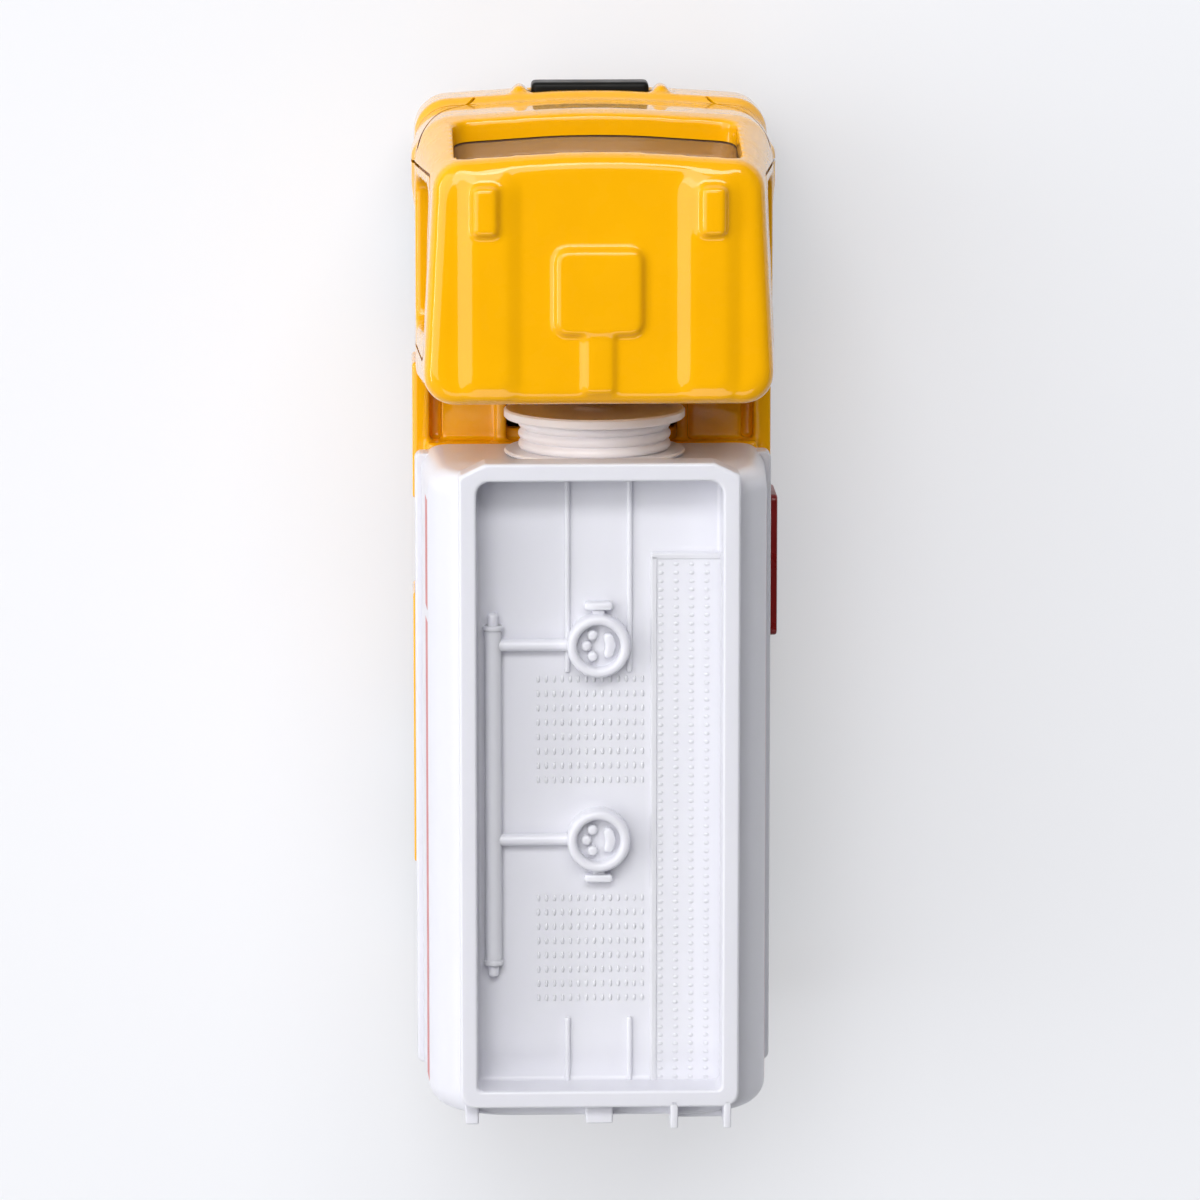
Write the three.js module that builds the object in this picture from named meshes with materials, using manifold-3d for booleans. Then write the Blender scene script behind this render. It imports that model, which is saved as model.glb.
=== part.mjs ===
// Toy tanker truck: a painted die-cast cab and frame in one piece, a white moulded tank with a tray on top,
// a ribbed hose drum, a black base plate and three sprung axles with wheels that turn freely.
// Millimetres. +Z is up, +Y points to the front bumper and +X to the truck's right-hand side.
// The origin is on the ground, under the middle of the truck.

import * as THREE from "three";
import { mergeVertices } from "three/addons/utils/BufferGeometryUtils.js";
import Module from "manifold-3d";

const wasm = await Module();
wasm.setup();

// Clearances
const runningGap = 0.06; // round a pin in its bore
const seatGap = 0.08; // between a piece and what it is seated on
const slotGap = 0.15; // beside a piece that slides or pokes through a slot

// Wheels and axles
const tyreRadius = 5;
const singleTyreWidth = 3.2;
const twinTyreWidth = 6.2;
const twinGrooveWidth = 0.9;
const twinGrooveDepth = 1.2;
const tyreShoulder = 0.45;
const hubRadius = 3.1;
const hubDish = 0.9; // depth of the hub's outer face inside the tyre
const hubLipWidth = 0.5;
const hubInset = 0.3; // depth of the hub's inner face inside the tyre
const axleRadius = 0.7;
const axleHeadRadius = 1.15;
const axleHeadThickness = 0.5;
const tyreInset = 0.3; // outer faces of the tyres inside the cab's sides
const frontAxleY = 24;
const middleAxleY = -15.2;
const rearAxleY = -26.4;
const axleRise = 0.6; // travel above the rest height
const axleDrop = 1; // travel below the rest height
const archGap = 0.5; // round a tyre in its wheel arch

// Cab
const cabRear = 16.1;
const bumperFront = 37.05;
const cabInset = 0.25; // cab narrower than the frame's sides
const cabWall = 1.5;
const cabBow = 0.8; // how far the front bulges between its corners
const cabBowRadius = 60;
const bumperBottom = 4.2;
const bumperTop = 9.5;
const bumperEdge = 0.5; // rounding along the bumper's bottom and top
const panelSetback = 0.5; // front panel behind the bumper, just above it
const cowlHeight = 17.8;
const cowlSetback = 0.6;
const roofHeight = 29.4;
const browSetback = 2.5; // roof edge behind the bumper
const roofFrontTuck = 1.3; // roof narrower than the doors, in front
const roofRearTuck = 0.4;
const roofRound = 1.1;
const frontCornerRadius = 4;
const roofCornerRadius = 2.2;
const rearCornerRadius = 1.2;

// Cab windows
const windscreenHalfWidth = 10.3;
const windscreenTop = 26.2;
const sideWindowFront = 31.6;
const sideWindowRear = 20.6;
const sideWindowTop = 25.6;
const windowCornerRadius = 1.2;
const glassThickness = 0.7;
const glassOverlap = 1; // glass below the window sills
const glassRear = 18.4;

// Cab roof and front details
const roofRibInner = 6.1;
const roofRibWidth = 3.6;
const roofRibHeight = 0.5;
const roofRibFront = 31.9;
const roofLampLength = 3.6;
const roofLampHeight = 0.35; // above the rib
const roofLampInset = 0.6; // behind the rib's front
const roofLampInner = 1.2; // from the rib's inner edge
const roofLampOuter = 0.45; // from the rib's outer edge
const hatchHalf = 3.15;
const hatchLength = 6.2;
const hatchFront = 27.5;
const hatchHeight = 0.45;
const hatchCornerRadius = 0.8;
const roofSpineHalf = 1.1;
const roofSpineHeight = 0.3;
const roofRearMargin = 0.9;
const bumperPegRadius = 0.55;
const bumperPegSpread = 5.3;
const bumperPegTop = 9;
const bumperPegProud = 0.25;
const bumperPegLength = 2.6;
const vaneProud = 0.25;
const vaneRear = 31;
const vaneLength = 2.8;
const vaneBottom = 11.6;
const vaneHeight = 5;

// Frame behind and under the cab
const deckClearance = 0.9; // under the deck, above a risen tyre
const deckThickness = 1.4;
const deckInset = 1.05; // deck narrower than the frame's sides
const deckRear = -35.4;
const lowDeckDrop = 0.6; // low deck's top under the main deck's bottom
const lowDeckThickness = 1.5;
const lowDeckReach = 3; // into the cab
const deckStep = 10.9; // where the low deck steps up to the main deck
const frameRailInner = 6.4;
const frameRailWidth = 0.8;
const frameRailHeight = 0.8;
const frameWellMargin = 0.8;
const sideProud = 0.15; // frame's sides past the tank's ledge
const sideBoxWidth = 4.85;
const sideBoxBottom = 5.4;
const leftBoxRear = 6.5;
const rightBoxRear = 8.2;
const sideBoxTopLip = 0.8; // outer wall above the low deck
const sideBoxLipWidth = 1.3;
const sideGrooveWidth = 0.9;
const sideGrooveDepth = 1;
const guardThickness = 1;
const guardBottom = 6;
const guardRear = -8.6;
const sillRear = -21.4; // rear end of the strip along the deck's edge
const leftGuardFront = -0.6;
const rightGuardFront = -4.6;
const sillWidth = 2.6;
const beamInner = 3.2;
const beamWidth = 1.2;
const beamBottom = 7.6;
const crossbarLength = 2.4;
const crossbarDepth = 1.7;
const floorClearance = 0.5; // interior floor above a risen tyre

// Base plate and its fastening
const baseBottom = 2.7;
const baseThickness = 1.5;
const baseNoseHalf = 9.2;
const baseMiddleHalf = 8.4;
const baseFrontWaist = 7.4; // half width between the front tyres
const baseRearWaist = 6.2; // half width between the twin tyres
const baseRear = -35.6;
const padHalfWidth = 5;
const padFront = 9;
const padLength = 14;
const padDepth = 0.5;
const cheekThickness = 1;
const cheekReach = 2.6; // along the truck, each side of an axle
const cheekTop = 8.2;
const cheekMargin = 0.4; // cheek inside the plate's edge
const plateBarHalf = 4.4;
const plateBarBottom = 5.6;
const plateBarTop = 8.2;
const plateBarProud = 0.4;
const plateBarRoot = 2.2; // behind the bumper's front
const tailBarHalf = 11;
const tailBarLength = 1.2;
const tailBarTop = 7.6;
const postRadius = 1.9;
const frontPostY = 30.6;
const rearPostY = -32.2;
const rivetRadius = 0.7;
const rivetHeadRadius = 1.5;
const rivetHeadFace = 1.05; // radius of the head's flat
const rivetHeadThickness = 0.4;
const rivetLength = 4.2; // into the post

// Springs
const springHalfWidth = 2.1;
const springThickness = 0.3;
const springOverhang = 1.4; // past the axle
const springClampLength = 2;

// Cab interior
const interiorMargin = 0.2; // inside the glass
const floorThickness = 0.8;
const dashRear = 30.4;
const dashDrop = 1.6; // dashboard under the window sill
const benchRear = 18.8;
const benchBackDepth = 1.4;
const benchLength = 5.4;
const cushionHeight = 2.4;
const benchBackHeight = 7.4;
const benchMargin = 1.4; // bench narrower than the floor, each side
const steeringX = 5.4;
const steeringRadius = 1.7;
const steeringRimRadius = 0.28;
const steeringColumnLength = 2.2;
const steeringReach = 1.8; // rim off the dashboard, along the column
const steeringTilt = 0.7; // radians from level

// Tank
const tankFront = 10.9;
const tankRear = -37.05;
const tankHalfWidth = 12.65;
const tankHeight = 15;
const tankWall = 1.2;
const shoulderRadius = 4.6;
const tankFootRadius = 0.6;
const tankCornerRadius = 2.2; // of the upright corners
const tankFrontWall = 2; // thick enough for the drum's socket
const ledgeProud = 0.65; // ledge past the barrel's sides
const ledgeHeight = 2;
const ledgeFrontSetback = 0.4; // behind the tank's front
const ledgeRearSetback = 0.9; // in front of the tank's rear
const ledgeCornerRadius = 1.4;
const tankPostRadius = 1.6;
const tankPostFrontY = 2.5;
const tankPostRearY = -29.6;

// Tray on the tank
const rimHalfWidth = 10.22;
const rimWall = 1.28;
const rimFrontWall = 1.32;
const rimFrontProud = 1.15; // past the tank's front
const rimHeight = 2.5; // above the barrel
const trayDepth = 3.5;
const rimRearSetback = 1.2; // in front of the tank's rear
const rimChamferLength = 0.9;
const rimChamferWidth = 1.9;
const rimChamferRound = 0.25;
const trayCornerRadius = 1;
const trayFloorThickness = 1.3;

// Fittings in the tray
const manholeRadius = 2.32;
const manholeBore = 1.6;
const manholeHeight = 1.5;
const manholeFloor = 0.5;
const frontManholeY = -1.8;
const rearManholeY = -16.3;
const valveRadius = 0.38;
const valveHeight = 1.2;
const valveCount = 3;
const valveSpread = 1.07; // from the manhole's middle
const valveStep = 1.05; // radians between valves
const manholeTabHalf = 1.05;
const manholeTabLength = 0.9;
const manholeTabHeight = 0.9;
const pipeX = -7.72;
const pipeRadius = 0.65;
const pipeRise = 0.45; // pipe's middle above the tray floor
const pipeFront = 0.6;
const pipeRear = -26.6;
const pipeCollarRadius = 0.75;
const pipeCollarLength = 0.4;
const pipeTipRadius = 0.4;
const pipeTipLength = 0.9;
const branchRadius = 0.45;
const walkwayInner = 3.78;
const walkwayFront = 5;
const walkwayHeight = 0.45;
const walkwayBorder = 0.35;
const walkwayBorderHeight = 0.2;
const trayRibX = 2.28;
const trayRibWidth = 0.4;
const trayRibHeight = 0.4;
const frontRibLength = 15.3;
const rearRibLength = 5.5;

// Rear fittings of the tank
const ladderX = 7.43;
const ladderSpread = 1.95; // each rail from the ladder's middle
const ladderRailWidth = 0.55;
const ladderProud = 0.4; // behind the tank's rear
const ladderFootDrop = 0.2; // into the ledge
const ladderRungs = 4;
const ladderRungSize = 0.5;
const tailPostHalf = 1;
const tailPostProud = 0.25;
const tailPostTop = 1; // under the rim's top
const cornerPostX = -9.37;
const cornerPostHalf = 0.5;
const cornerPostHeight = 6;

// Hose drum
const drumFlangeRadius = 6.7;
const drumCoreRadius = 5.15;
const drumRibHeight = 0.5;
const drumRibs = 3;
const drumRibFlank = 0.3; // share of a rib's pitch
const drumFrontFlange = 0.72; // thickness
const drumRearFlange = 0.3;
const drumLength = 3.35;
const drumStandoff = 0.1; // off the tank's head
const drumHeight = 18; // axis above the ground
const drumPegRadius = 1.1;
const drumPegLength = 1.1;

// Side locker
const lockerProud = 0.55; // past the frame's side
const lockerDepth = 4.75; // inwards from its outer face
const lockerFront = 7.3;
const lockerRear = -3.7;
const lockerBottom = 5.8;
const lockerCornerRadius = 0.9;

// Rounds are drawn with these many flats
const tyreFlats = 24;
const roundFlats = 16;
const smallFlats = 10;
const drumFlats = 32;
const cornerSteps = 4;

// Heights and places that follow from the sizes above
const ledgeHalfWidth = tankHalfWidth + ledgeProud;
const sideHalfWidth = ledgeHalfWidth + sideProud;
const deckHalfWidth = sideHalfWidth - deckInset;
const cabHalfWidth = sideHalfWidth - cabInset;
const tyreFace = cabHalfWidth - tyreInset;
const axleHeight = tyreRadius;
const risenTyreTop = 2 * tyreRadius + axleRise;
const deckBottom = risenTyreTop + deckClearance;
const deckTop = deckBottom + deckThickness;
const lowDeckTop = deckBottom - lowDeckDrop;
const lowDeckBottom = lowDeckTop - lowDeckThickness;
const baseTop = baseBottom + baseThickness;
const padBottom = baseBottom - padDepth;
const springBottom = axleHeight + axleRadius + runningGap;
const springTop = springBottom + springThickness;
const interiorFloor = risenTyreTop + floorClearance;
const tankBottom = deckTop + seatGap;
const barrelTop = tankBottom + tankHeight;
const ledgeTop = tankBottom + ledgeHeight;
const rimTop = barrelTop + rimHeight;
const trayFloor = rimTop - trayDepth;
const rimRear = tankRear + rimRearSetback;
const rimFront = tankFront + rimFrontProud;
const bogieY = (middleAxleY + rearAxleY) / 2;
const archRadius = tyreRadius + axleRise + archGap;
const noseRear = frontAxleY + archRadius;
const waistFrontRear = frontAxleY - archRadius;
const waistRearFront = middleAxleY + archRadius;
const waistRearRear = rearAxleY - archRadius;
const frontSeatRear = frontAxleY + cheekReach + slotGap;
const frontSeatFront = frontPostY - postRadius - slotGap;

// Shape helpers

const bases = {
  x: new THREE.Matrix4().set(0, 0, 1, 0, 1, 0, 0, 0, 0, 1, 0, 0, 0, 0, 0, 1),
  y: new THREE.Matrix4().set(1, 0, 0, 0, 0, 0, 1, 0, 0, 1, 0, 0, 0, 0, 0, 1),
  z: new THREE.Matrix4(),
};

/** The closed triangle mesh of a geometry as a solid whose faces point outwards. */
function solid(geometry) {
  geometry.deleteAttribute("normal");
  geometry.deleteAttribute("uv");
  const merged = mergeVertices(geometry);
  const vertProperties = new Float32Array(merged.attributes.position.array);
  const corners = Array.from(merged.index.array);
  const triangles = [];
  for (let i = 0; i < corners.length; i += 3) {
    const [a, b, c] = corners.slice(i, i + 3);
    if (a !== b && b !== c && c !== a) triangles.push([a, b, c]);
  }
  const build = (list) => {
    const triVerts = new Uint32Array(list.flat());
    return new wasm.Manifold(new wasm.Mesh({ numProp: 3, vertProperties, triVerts }));
  };
  const made = build(triangles);
  return made.volume() > 0 ? made : build(triangles.map(([a, b, c]) => [a, c, b]));
}

/** All the given solids joined into one. */
function join(...solids) {
  return solids.reduce((whole, piece) => whole.add(piece));
}

/** A solid with all the given tools cut out of it. */
function cut(whole, ...tools) {
  return tools.reduce((left, tool) => left.subtract(tool), whole);
}

/** A rectangular block between two values along each axis. */
function block([x0, x1], [y0, y1], [z0, z1]) {
  const geometry = new THREE.BoxGeometry(x1 - x0, y1 - y0, z1 - z0);
  geometry.translate((x0 + x1) / 2, (y0 + y1) / 2, (z0 + z1) / 2);
  return solid(geometry);
}

/** A block and its twin on the other side of the truck's middle plane. */
function blockPair([x0, x1], y, z) {
  return join(block([x0, x1], y, z), block([-x1, -x0], y, z));
}

/** A round bar along one axis through a centre, given as the other two coordinates in x, y, z order. */
function rod(axis, radius, [from, to], [a, b], flats = roundFlats) {
  const geometry = new THREE.CylinderGeometry(radius, radius, to - from, flats);
  geometry.rotateX(Math.PI / 2);
  geometry.translate(a, b, (from + to) / 2);
  geometry.applyMatrix4(bases[axis]);
  return solid(geometry);
}

/** An outline, in the two axes other than the given one, pushed along that axis. */
function prism(axis, outline, [from, to]) {
  const geometry = new THREE.ExtrudeGeometry(new THREE.Shape(outline), {
    depth: to - from,
    bevelEnabled: false,
  });
  geometry.translate(0, 0, from);
  geometry.applyMatrix4(bases[axis]);
  return solid(geometry);
}

/** A profile of [radius, distance] points turned about one axis through the origin. */
function turned(axis, profile, flats) {
  const points = profile.map(([radius, along]) => new THREE.Vector2(radius, along));
  const geometry = new THREE.LatheGeometry(points, flats, Math.PI / flats);
  geometry.rotateX(Math.PI / 2);
  geometry.applyMatrix4(bases[axis]);
  return solid(geometry);
}

/** A closed outline through [a, b, radius] corners, with an arc at each corner. */
function rounded(corners, steps = cornerSteps) {
  const count = corners.length;
  const at = (i) => new THREE.Vector2(...corners[(i + count) % count]);
  return corners.flatMap(([, , radius], i) => {
    const corner = at(i);
    const back = at(i - 1).sub(corner).normalize();
    const ahead = at(i + 1).sub(corner).normalize();
    const half = Math.acos(THREE.MathUtils.clamp(back.dot(ahead), -1, 1)) / 2;
    const middle = back.clone().add(ahead).normalize().multiplyScalar(radius / Math.sin(half));
    const centre = corner.clone().add(middle);
    const start = corner.clone().addScaledVector(back, radius / Math.tan(half)).sub(centre);
    const sweep = (Math.PI - 2 * half) * Math.sign(ahead.cross(back));
    return Array.from({ length: steps + 1 }, (_, k) => {
      return start.clone().rotateAround(new THREE.Vector2(), (sweep * k) / steps).add(centre);
    });
  });
}

/** A rectangle with rounded corners, between two values along each of its axes. */
function roundedRectangle([a0, a1], [b0, b1], radius) {
  return rounded([[a0, b0, radius], [a1, b0, radius], [a1, b1, radius], [a0, b1, radius]]);
}

/** A skin stretched over outlines of equally many points, placed at rising values along one axis. */
function loft(axis, sections) {
  const count = sections[0].outline.length;
  const positions = sections.flatMap(({ at, outline }) => outline.flatMap(({ x, y }) => [x, y, at]));
  const index = [];
  for (let level = 0; level + 1 < sections.length; level += 1) {
    for (let i = 0; i < count; i += 1) {
      const a = level * count + i;
      const b = level * count + ((i + 1) % count);
      index.push(a, b, b + count, a, b + count, a + count);
    }
  }
  const capStart = (sections.length - 1) * count;
  THREE.ShapeUtils.triangulateShape(sections[0].outline, []).forEach(([a, b, c]) => index.push(a, c, b));
  THREE.ShapeUtils.triangulateShape(sections.at(-1).outline, []).forEach((face) => {
    index.push(...face.map((i) => i + capStart));
  });
  const geometry = new THREE.BufferGeometry();
  geometry.setAttribute("position", new THREE.Float32BufferAttribute(positions, 3));
  geometry.setIndex(index);
  geometry.applyMatrix4(bases[axis]);
  return solid(geometry);
}

/** The triangles of a solid. */
function surface(shape) {
  const { vertProperties, triVerts } = shape.getMesh();
  const geometry = new THREE.BufferGeometry();
  geometry.setAttribute("position", new THREE.BufferAttribute(vertProperties, 3));
  geometry.setIndex(new THREE.BufferAttribute(triVerts, 1));
  return geometry;
}

/** A solid tilted about the X axis through the origin, then moved to a place. */
function placed(shape, place, tilt = 0) {
  return solid(surface(shape).rotateX(tilt).translate(...place));
}

/** A named mesh of one solid. */
function mesh(name, shape, material) {
  const made = new THREE.Mesh(surface(shape), material);
  made.name = name;
  return made;
}

/** A group of children at a place. */
function group(place, ...children) {
  const made = new THREE.Group();
  made.position.set(...place);
  made.add(...children);
  return made;
}

/** A plain material. */
function finish(color, roughness, metalness = 0) {
  return new THREE.MeshStandardMaterial({ color, roughness, metalness, flatShading: true });
}

const finishes = {
  paint: () => finish(0xf5a800, 0.25),
  whitePlastic: () => finish(0xe9e9ee, 0.3),
  blackPlastic: () => finish(0x17181a, 0.45),
  redPlastic: () => finish(0xa3120f, 0.35),
  clearPlastic: () => finish(0x8c8a80, 0.08),
  greyPlastic: () => finish(0x3b3c40, 0.6),
  tyrePlastic: () => finish(0x141414, 0.6),
  hubPlastic: () => finish(0xbfc2c6, 0.3, 0.6),
  steel: () => finish(0xb4b6ba, 0.3, 1),
};

// Cab and frame

/** Plan outline of the cab at one level, drawn in by an inset all round. */
function cabOutline({ setback, frontTuck, rearTuck, rearSetback, frontCorner, rearCorner }, inset) {
  const front = bumperFront - setback - inset;
  const rear = cabRear + rearSetback + inset;
  const frontHalf = cabHalfWidth - frontTuck - inset;
  const rearHalf = cabHalfWidth - rearTuck - inset;
  const frontRadius = Math.max(frontCorner - inset, cabWall / 2);
  const rearRadius = Math.max(rearCorner - inset, cabWall / 4);
  return rounded([
    [-rearHalf, rear, rearRadius],
    [rearHalf, rear, rearRadius],
    [frontHalf, front - cabBow, frontRadius],
    [0, front, cabBowRadius],
    [-frontHalf, front - cabBow, frontRadius],
  ]);
}

/** A level of the cab's lower walls, set back from the bumper and tucked in at the sides. */
function wallLevel(z, setback, tuck) {
  const corners = { frontCorner: frontCornerRadius, rearCorner: rearCornerRadius };
  return { z, setback, frontTuck: tuck, rearTuck: tuck, rearSetback: 0, ...corners };
}

/** A level of the roof's edge, drawn in from its widest line. */
function roofLevel(z, drawn) {
  return {
    z,
    setback: browSetback + drawn,
    frontTuck: roofFrontTuck + drawn,
    rearTuck: roofRearTuck + drawn,
    rearSetback: drawn,
    frontCorner: roofCornerRadius,
    rearCorner: roofCornerRadius,
  };
}

const edgeStep = Math.SQRT1_2; // halfway round the roof's edge
const cabLevels = [
  wallLevel(bumperBottom, bumperEdge, bumperEdge),
  wallLevel(bumperBottom + bumperEdge, 0, 0),
  wallLevel(bumperTop, 0, 0),
  wallLevel(bumperTop + bumperEdge, panelSetback, 0),
  wallLevel(cowlHeight, cowlSetback, 0),
  roofLevel(roofHeight - roofRound, 0),
  roofLevel(roofHeight - roofRound * (1 - edgeStep), roofRound * (1 - edgeStep)),
  roofLevel(roofHeight, roofRound),
];

/** The cab's walls at any height, between the levels that shape them. */
function wallsAt(z) {
  const walls = cabLevels.slice(0, -2);
  const above = walls.find((level) => level.z >= z) ?? walls.at(-1);
  const below = walls.findLast((level) => level.z <= z) ?? walls[0];
  const share = above.z > below.z ? (z - below.z) / (above.z - below.z) : 0;
  const blend = (key) => [key, THREE.MathUtils.lerp(below[key], above[key], share)];
  return { ...Object.fromEntries(Object.keys(below).map(blend)), z };
}

/** The space inside the cab, a given distance in from its skin, down to a given height. */
function cabSpace(inset, bottom) {
  const top = roofHeight - inset;
  const between = cabLevels.map(({ z }) => z).filter((z) => z > bottom && z < top);
  const levels = [bottom, ...between, top].map(wallsAt);
  return loft("z", levels.map((level) => ({ at: level.z, outline: cabOutline(level, inset) })));
}

/** The windscreen and side window openings, through the cab's walls. */
function windowCutters() {
  const sill = cowlHeight;
  const across = [-windscreenHalfWidth, windscreenHalfWidth];
  const windscreen = roundedRectangle(across, [sill, windscreenTop], windowCornerRadius);
  const sideLength = [sideWindowRear, sideWindowFront];
  const side = roundedRectangle(sideLength, [sill, sideWindowTop], windowCornerRadius);
  const middle = (cabRear + bumperFront) / 2;
  return [
    prism("y", windscreen, [middle, bumperFront + cabWall]),
    prism("x", side, [-cabHalfWidth - cabWall, cabHalfWidth + cabWall]),
  ];
}

/** Ribs with their lamp blocks, the hatch and the spine behind it, on top of the roof. */
function roofDetails() {
  const root = roofHeight - roofRibHeight;
  const rear = cabRear + roofRearMargin;
  const rib = [roofRibInner, roofRibInner + roofRibWidth];
  const lamp = [rib[0] + roofLampInner, rib[1] - roofLampOuter];
  const lampLength = [roofRibFront - roofLampLength, roofRibFront - roofLampInset];
  const ribTop = roofHeight + roofRibHeight;
  const hatchY = [hatchFront - hatchLength, hatchFront];
  const hatch = roundedRectangle([-hatchHalf, hatchHalf], hatchY, hatchCornerRadius);
  return join(
    blockPair(rib, [rear, roofRibFront], [root, ribTop]),
    blockPair(lamp, lampLength, [root, ribTop + roofLampHeight]),
    prism("z", hatch, [root, roofHeight + hatchHeight]),
    block([-roofSpineHalf, roofSpineHalf], [rear, hatchY[1]], [root, roofHeight + roofSpineHeight]),
  );
}

/** Small pegs on the bumper and flat vanes at the front corners of the doors. */
function frontDetails() {
  const pegHeights = [bumperPegTop - bumperPegLength, bumperPegTop];
  const pegY = bumperFront + bumperPegProud - bumperPegRadius;
  const vaneX = [cabHalfWidth - cabWall / 2, cabHalfWidth + vaneProud];
  const vaneY = [vaneRear, vaneRear + vaneLength];
  return join(
    rod("z", bumperPegRadius, pegHeights, [-bumperPegSpread, pegY], smallFlats),
    rod("z", bumperPegRadius, pegHeights, [bumperPegSpread, pegY], smallFlats),
    blockPair(vaneX, vaneY, [vaneBottom, vaneBottom + vaneHeight]),
  );
}

/** The deck under the tank, the low deck behind the cab, rails, side boxes and side guards. */
function frameDeck() {
  const cabInside = cabRear + lowDeckReach;
  const lowDeck = [lowDeckBottom, lowDeckTop];
  const rail = [frameRailInner, frameRailInner + frameRailWidth];
  const boxTop = lowDeckTop + sideBoxTopLip;
  const lip = [sideHalfWidth - sideBoxLipWidth, sideHalfWidth];
  const boxFront = cabRear + cabWall / 2;
  const box = [sideHalfWidth - sideBoxWidth, sideHalfWidth];
  const left = ([x0, x1]) => [-x1, -x0];
  const guard = [sideHalfWidth - guardThickness, sideHalfWidth];
  const sill = [sideHalfWidth - sillWidth, sideHalfWidth];
  const sillZ = [deckBottom - deckThickness / 2, deckBottom + deckThickness / 4];
  const beam = [beamInner, beamInner + beamWidth];
  const lowBeamTop = lowDeckBottom + lowDeckThickness / 2;
  const leftGuard = [guardRear, leftGuardFront];
  const rightGuard = [guardRear, rightGuardFront];
  const decks = join(
    block([-deckHalfWidth, deckHalfWidth], [deckRear, deckStep], [deckBottom, deckTop]),
    block([-sideHalfWidth + cabWall, sideHalfWidth - cabWall], [deckStep, cabInside], lowDeck),
    block([-deckHalfWidth, deckHalfWidth], [deckStep - deckThickness, deckStep], [lowDeckBottom, deckTop]),
    blockPair(rail, [deckStep, boxFront], [lowDeckBottom, lowDeckTop + frameRailHeight]),
    block(left(box), [leftBoxRear, boxFront], [sideBoxBottom, lowDeckTop]),
    block(box, [rightBoxRear, boxFront], [sideBoxBottom, lowDeckTop]),
    block(left(lip), [leftBoxRear, boxFront], [lowDeckBottom, boxTop]),
    block(lip, [rightBoxRear, boxFront], [lowDeckBottom, boxTop]),
    block(left(guard), leftGuard, [guardBottom, deckBottom]),
    block(guard, rightGuard, [guardBottom, deckBottom]),
    block(left(sill), [sillRear, leftGuardFront], sillZ),
    block(sill, [sillRear, rightGuardFront], sillZ),
    blockPair(beam, [rearPostY, deckStep], [beamBottom, deckBottom + deckThickness / 2]),
    blockPair(beam, [deckStep - deckThickness, cabRear], [beamBottom, lowBeamTop]),
  );
  const well = [-frameRailInner, frameRailInner];
  const wellY = [deckStep + frameWellMargin, cabRear - frameWellMargin];
  const groove = [lip[0] - sideGrooveWidth, lip[0]];
  return cut(
    decks,
    block(well, wellY, [lowDeckBottom - seatGap, lowDeckTop + seatGap]),
    blockPair(groove, [deckStep, cabRear], [lowDeckTop - sideGrooveDepth, boxTop]),
  );
}

/** The crossbar inside the cab's nose and the posts that the base plate and the springs are held by. */
function castPosts() {
  const barTop = interiorFloor - slotGap;
  const bar = [barTop - crossbarDepth, barTop];
  const barY = [frontPostY - crossbarLength / 2, frontPostY + crossbarLength / 2];
  const barHalf = cabHalfWidth - cabWall / 2;
  const clamp = [frontSeatRear, barY[0] + cabWall / 4];
  const postBottom = baseTop + seatGap;
  const clampBottom = springTop + seatGap;
  const deckRoot = deckBottom + deckThickness / 2;
  return join(
    block([-barHalf, barHalf], barY, bar),
    rod("z", postRadius, [postBottom, barTop], [0, frontPostY]),
    block([-springHalfWidth, springHalfWidth], clamp, [clampBottom, barTop]),
    rod("z", postRadius, [postBottom, deckRoot], [0, rearPostY]),
    rod("z", springClampLength / 2 + slotGap, [clampBottom, deckRoot], [0, bogieY]),
  );
}

/** Painted casting of the cab and the frame. */
function cabAndFrame() {
  const skin = loft("z", cabLevels.map((level) => ({ at: level.z, outline: cabOutline(level, 0) })));
  const shell = cut(skin, cabSpace(cabWall, bumperBottom - cabWall));
  const slotX = [-plateBarHalf - slotGap, plateBarHalf + slotGap];
  const slotZ = [plateBarBottom - slotGap, plateBarTop + slotGap];
  const slotY = [bumperFront - plateBarRoot - cabWall, bumperFront + cabWall];
  const pilot = rivetRadius + runningGap;
  const pilotZ = [baseTop, baseTop + rivetLength + slotGap];
  const sideReach = [baseFrontWaist, cabHalfWidth + cabWall];
  const archCentre = [frontAxleY, axleHeight];
  const tankPostHole = tankPostRadius + slotGap;
  const holeZ = [deckBottom - deckThickness, deckTop + deckThickness];
  const tunnelHalf = baseMiddleHalf + slotGap;
  const tunnelY = [cabRear - cabWall, cabRear + 2 * cabWall];
  const cab = cut(shell, block([-tunnelHalf, tunnelHalf], tunnelY, [0, lowDeckBottom]));
  return cut(
    join(cab, roofDetails(), frontDetails(), frameDeck(), castPosts()),
    ...windowCutters(),
    block(slotX, slotY, slotZ),
    rod("x", archRadius, sideReach, archCentre, tyreFlats),
    rod("x", archRadius, [-sideReach[1], -sideReach[0]], archCentre, tyreFlats),
    rod("z", pilot, pilotZ, [0, frontPostY], smallFlats),
    rod("z", pilot, pilotZ, [0, rearPostY], smallFlats),
    rod("z", tankPostHole, holeZ, [0, tankPostFrontY]),
    rod("z", tankPostHole, holeZ, [0, tankPostRearY]),
  );
}

/** Clear moulding with the windscreen, the side windows and the roof panel that joins them. */
function windowInsert() {
  const bottom = cowlHeight - glassOverlap;
  const outside = cabSpace(cabWall + seatGap, bottom);
  const inside = cabSpace(cabWall + seatGap + glassThickness, bottom - glassThickness);
  const reach = [-cabHalfWidth, cabHalfWidth];
  const behind = block(reach, [cabRear, glassRear], [bottom - glassThickness, roofHeight]);
  return cut(outside, inside, behind);
}

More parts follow.
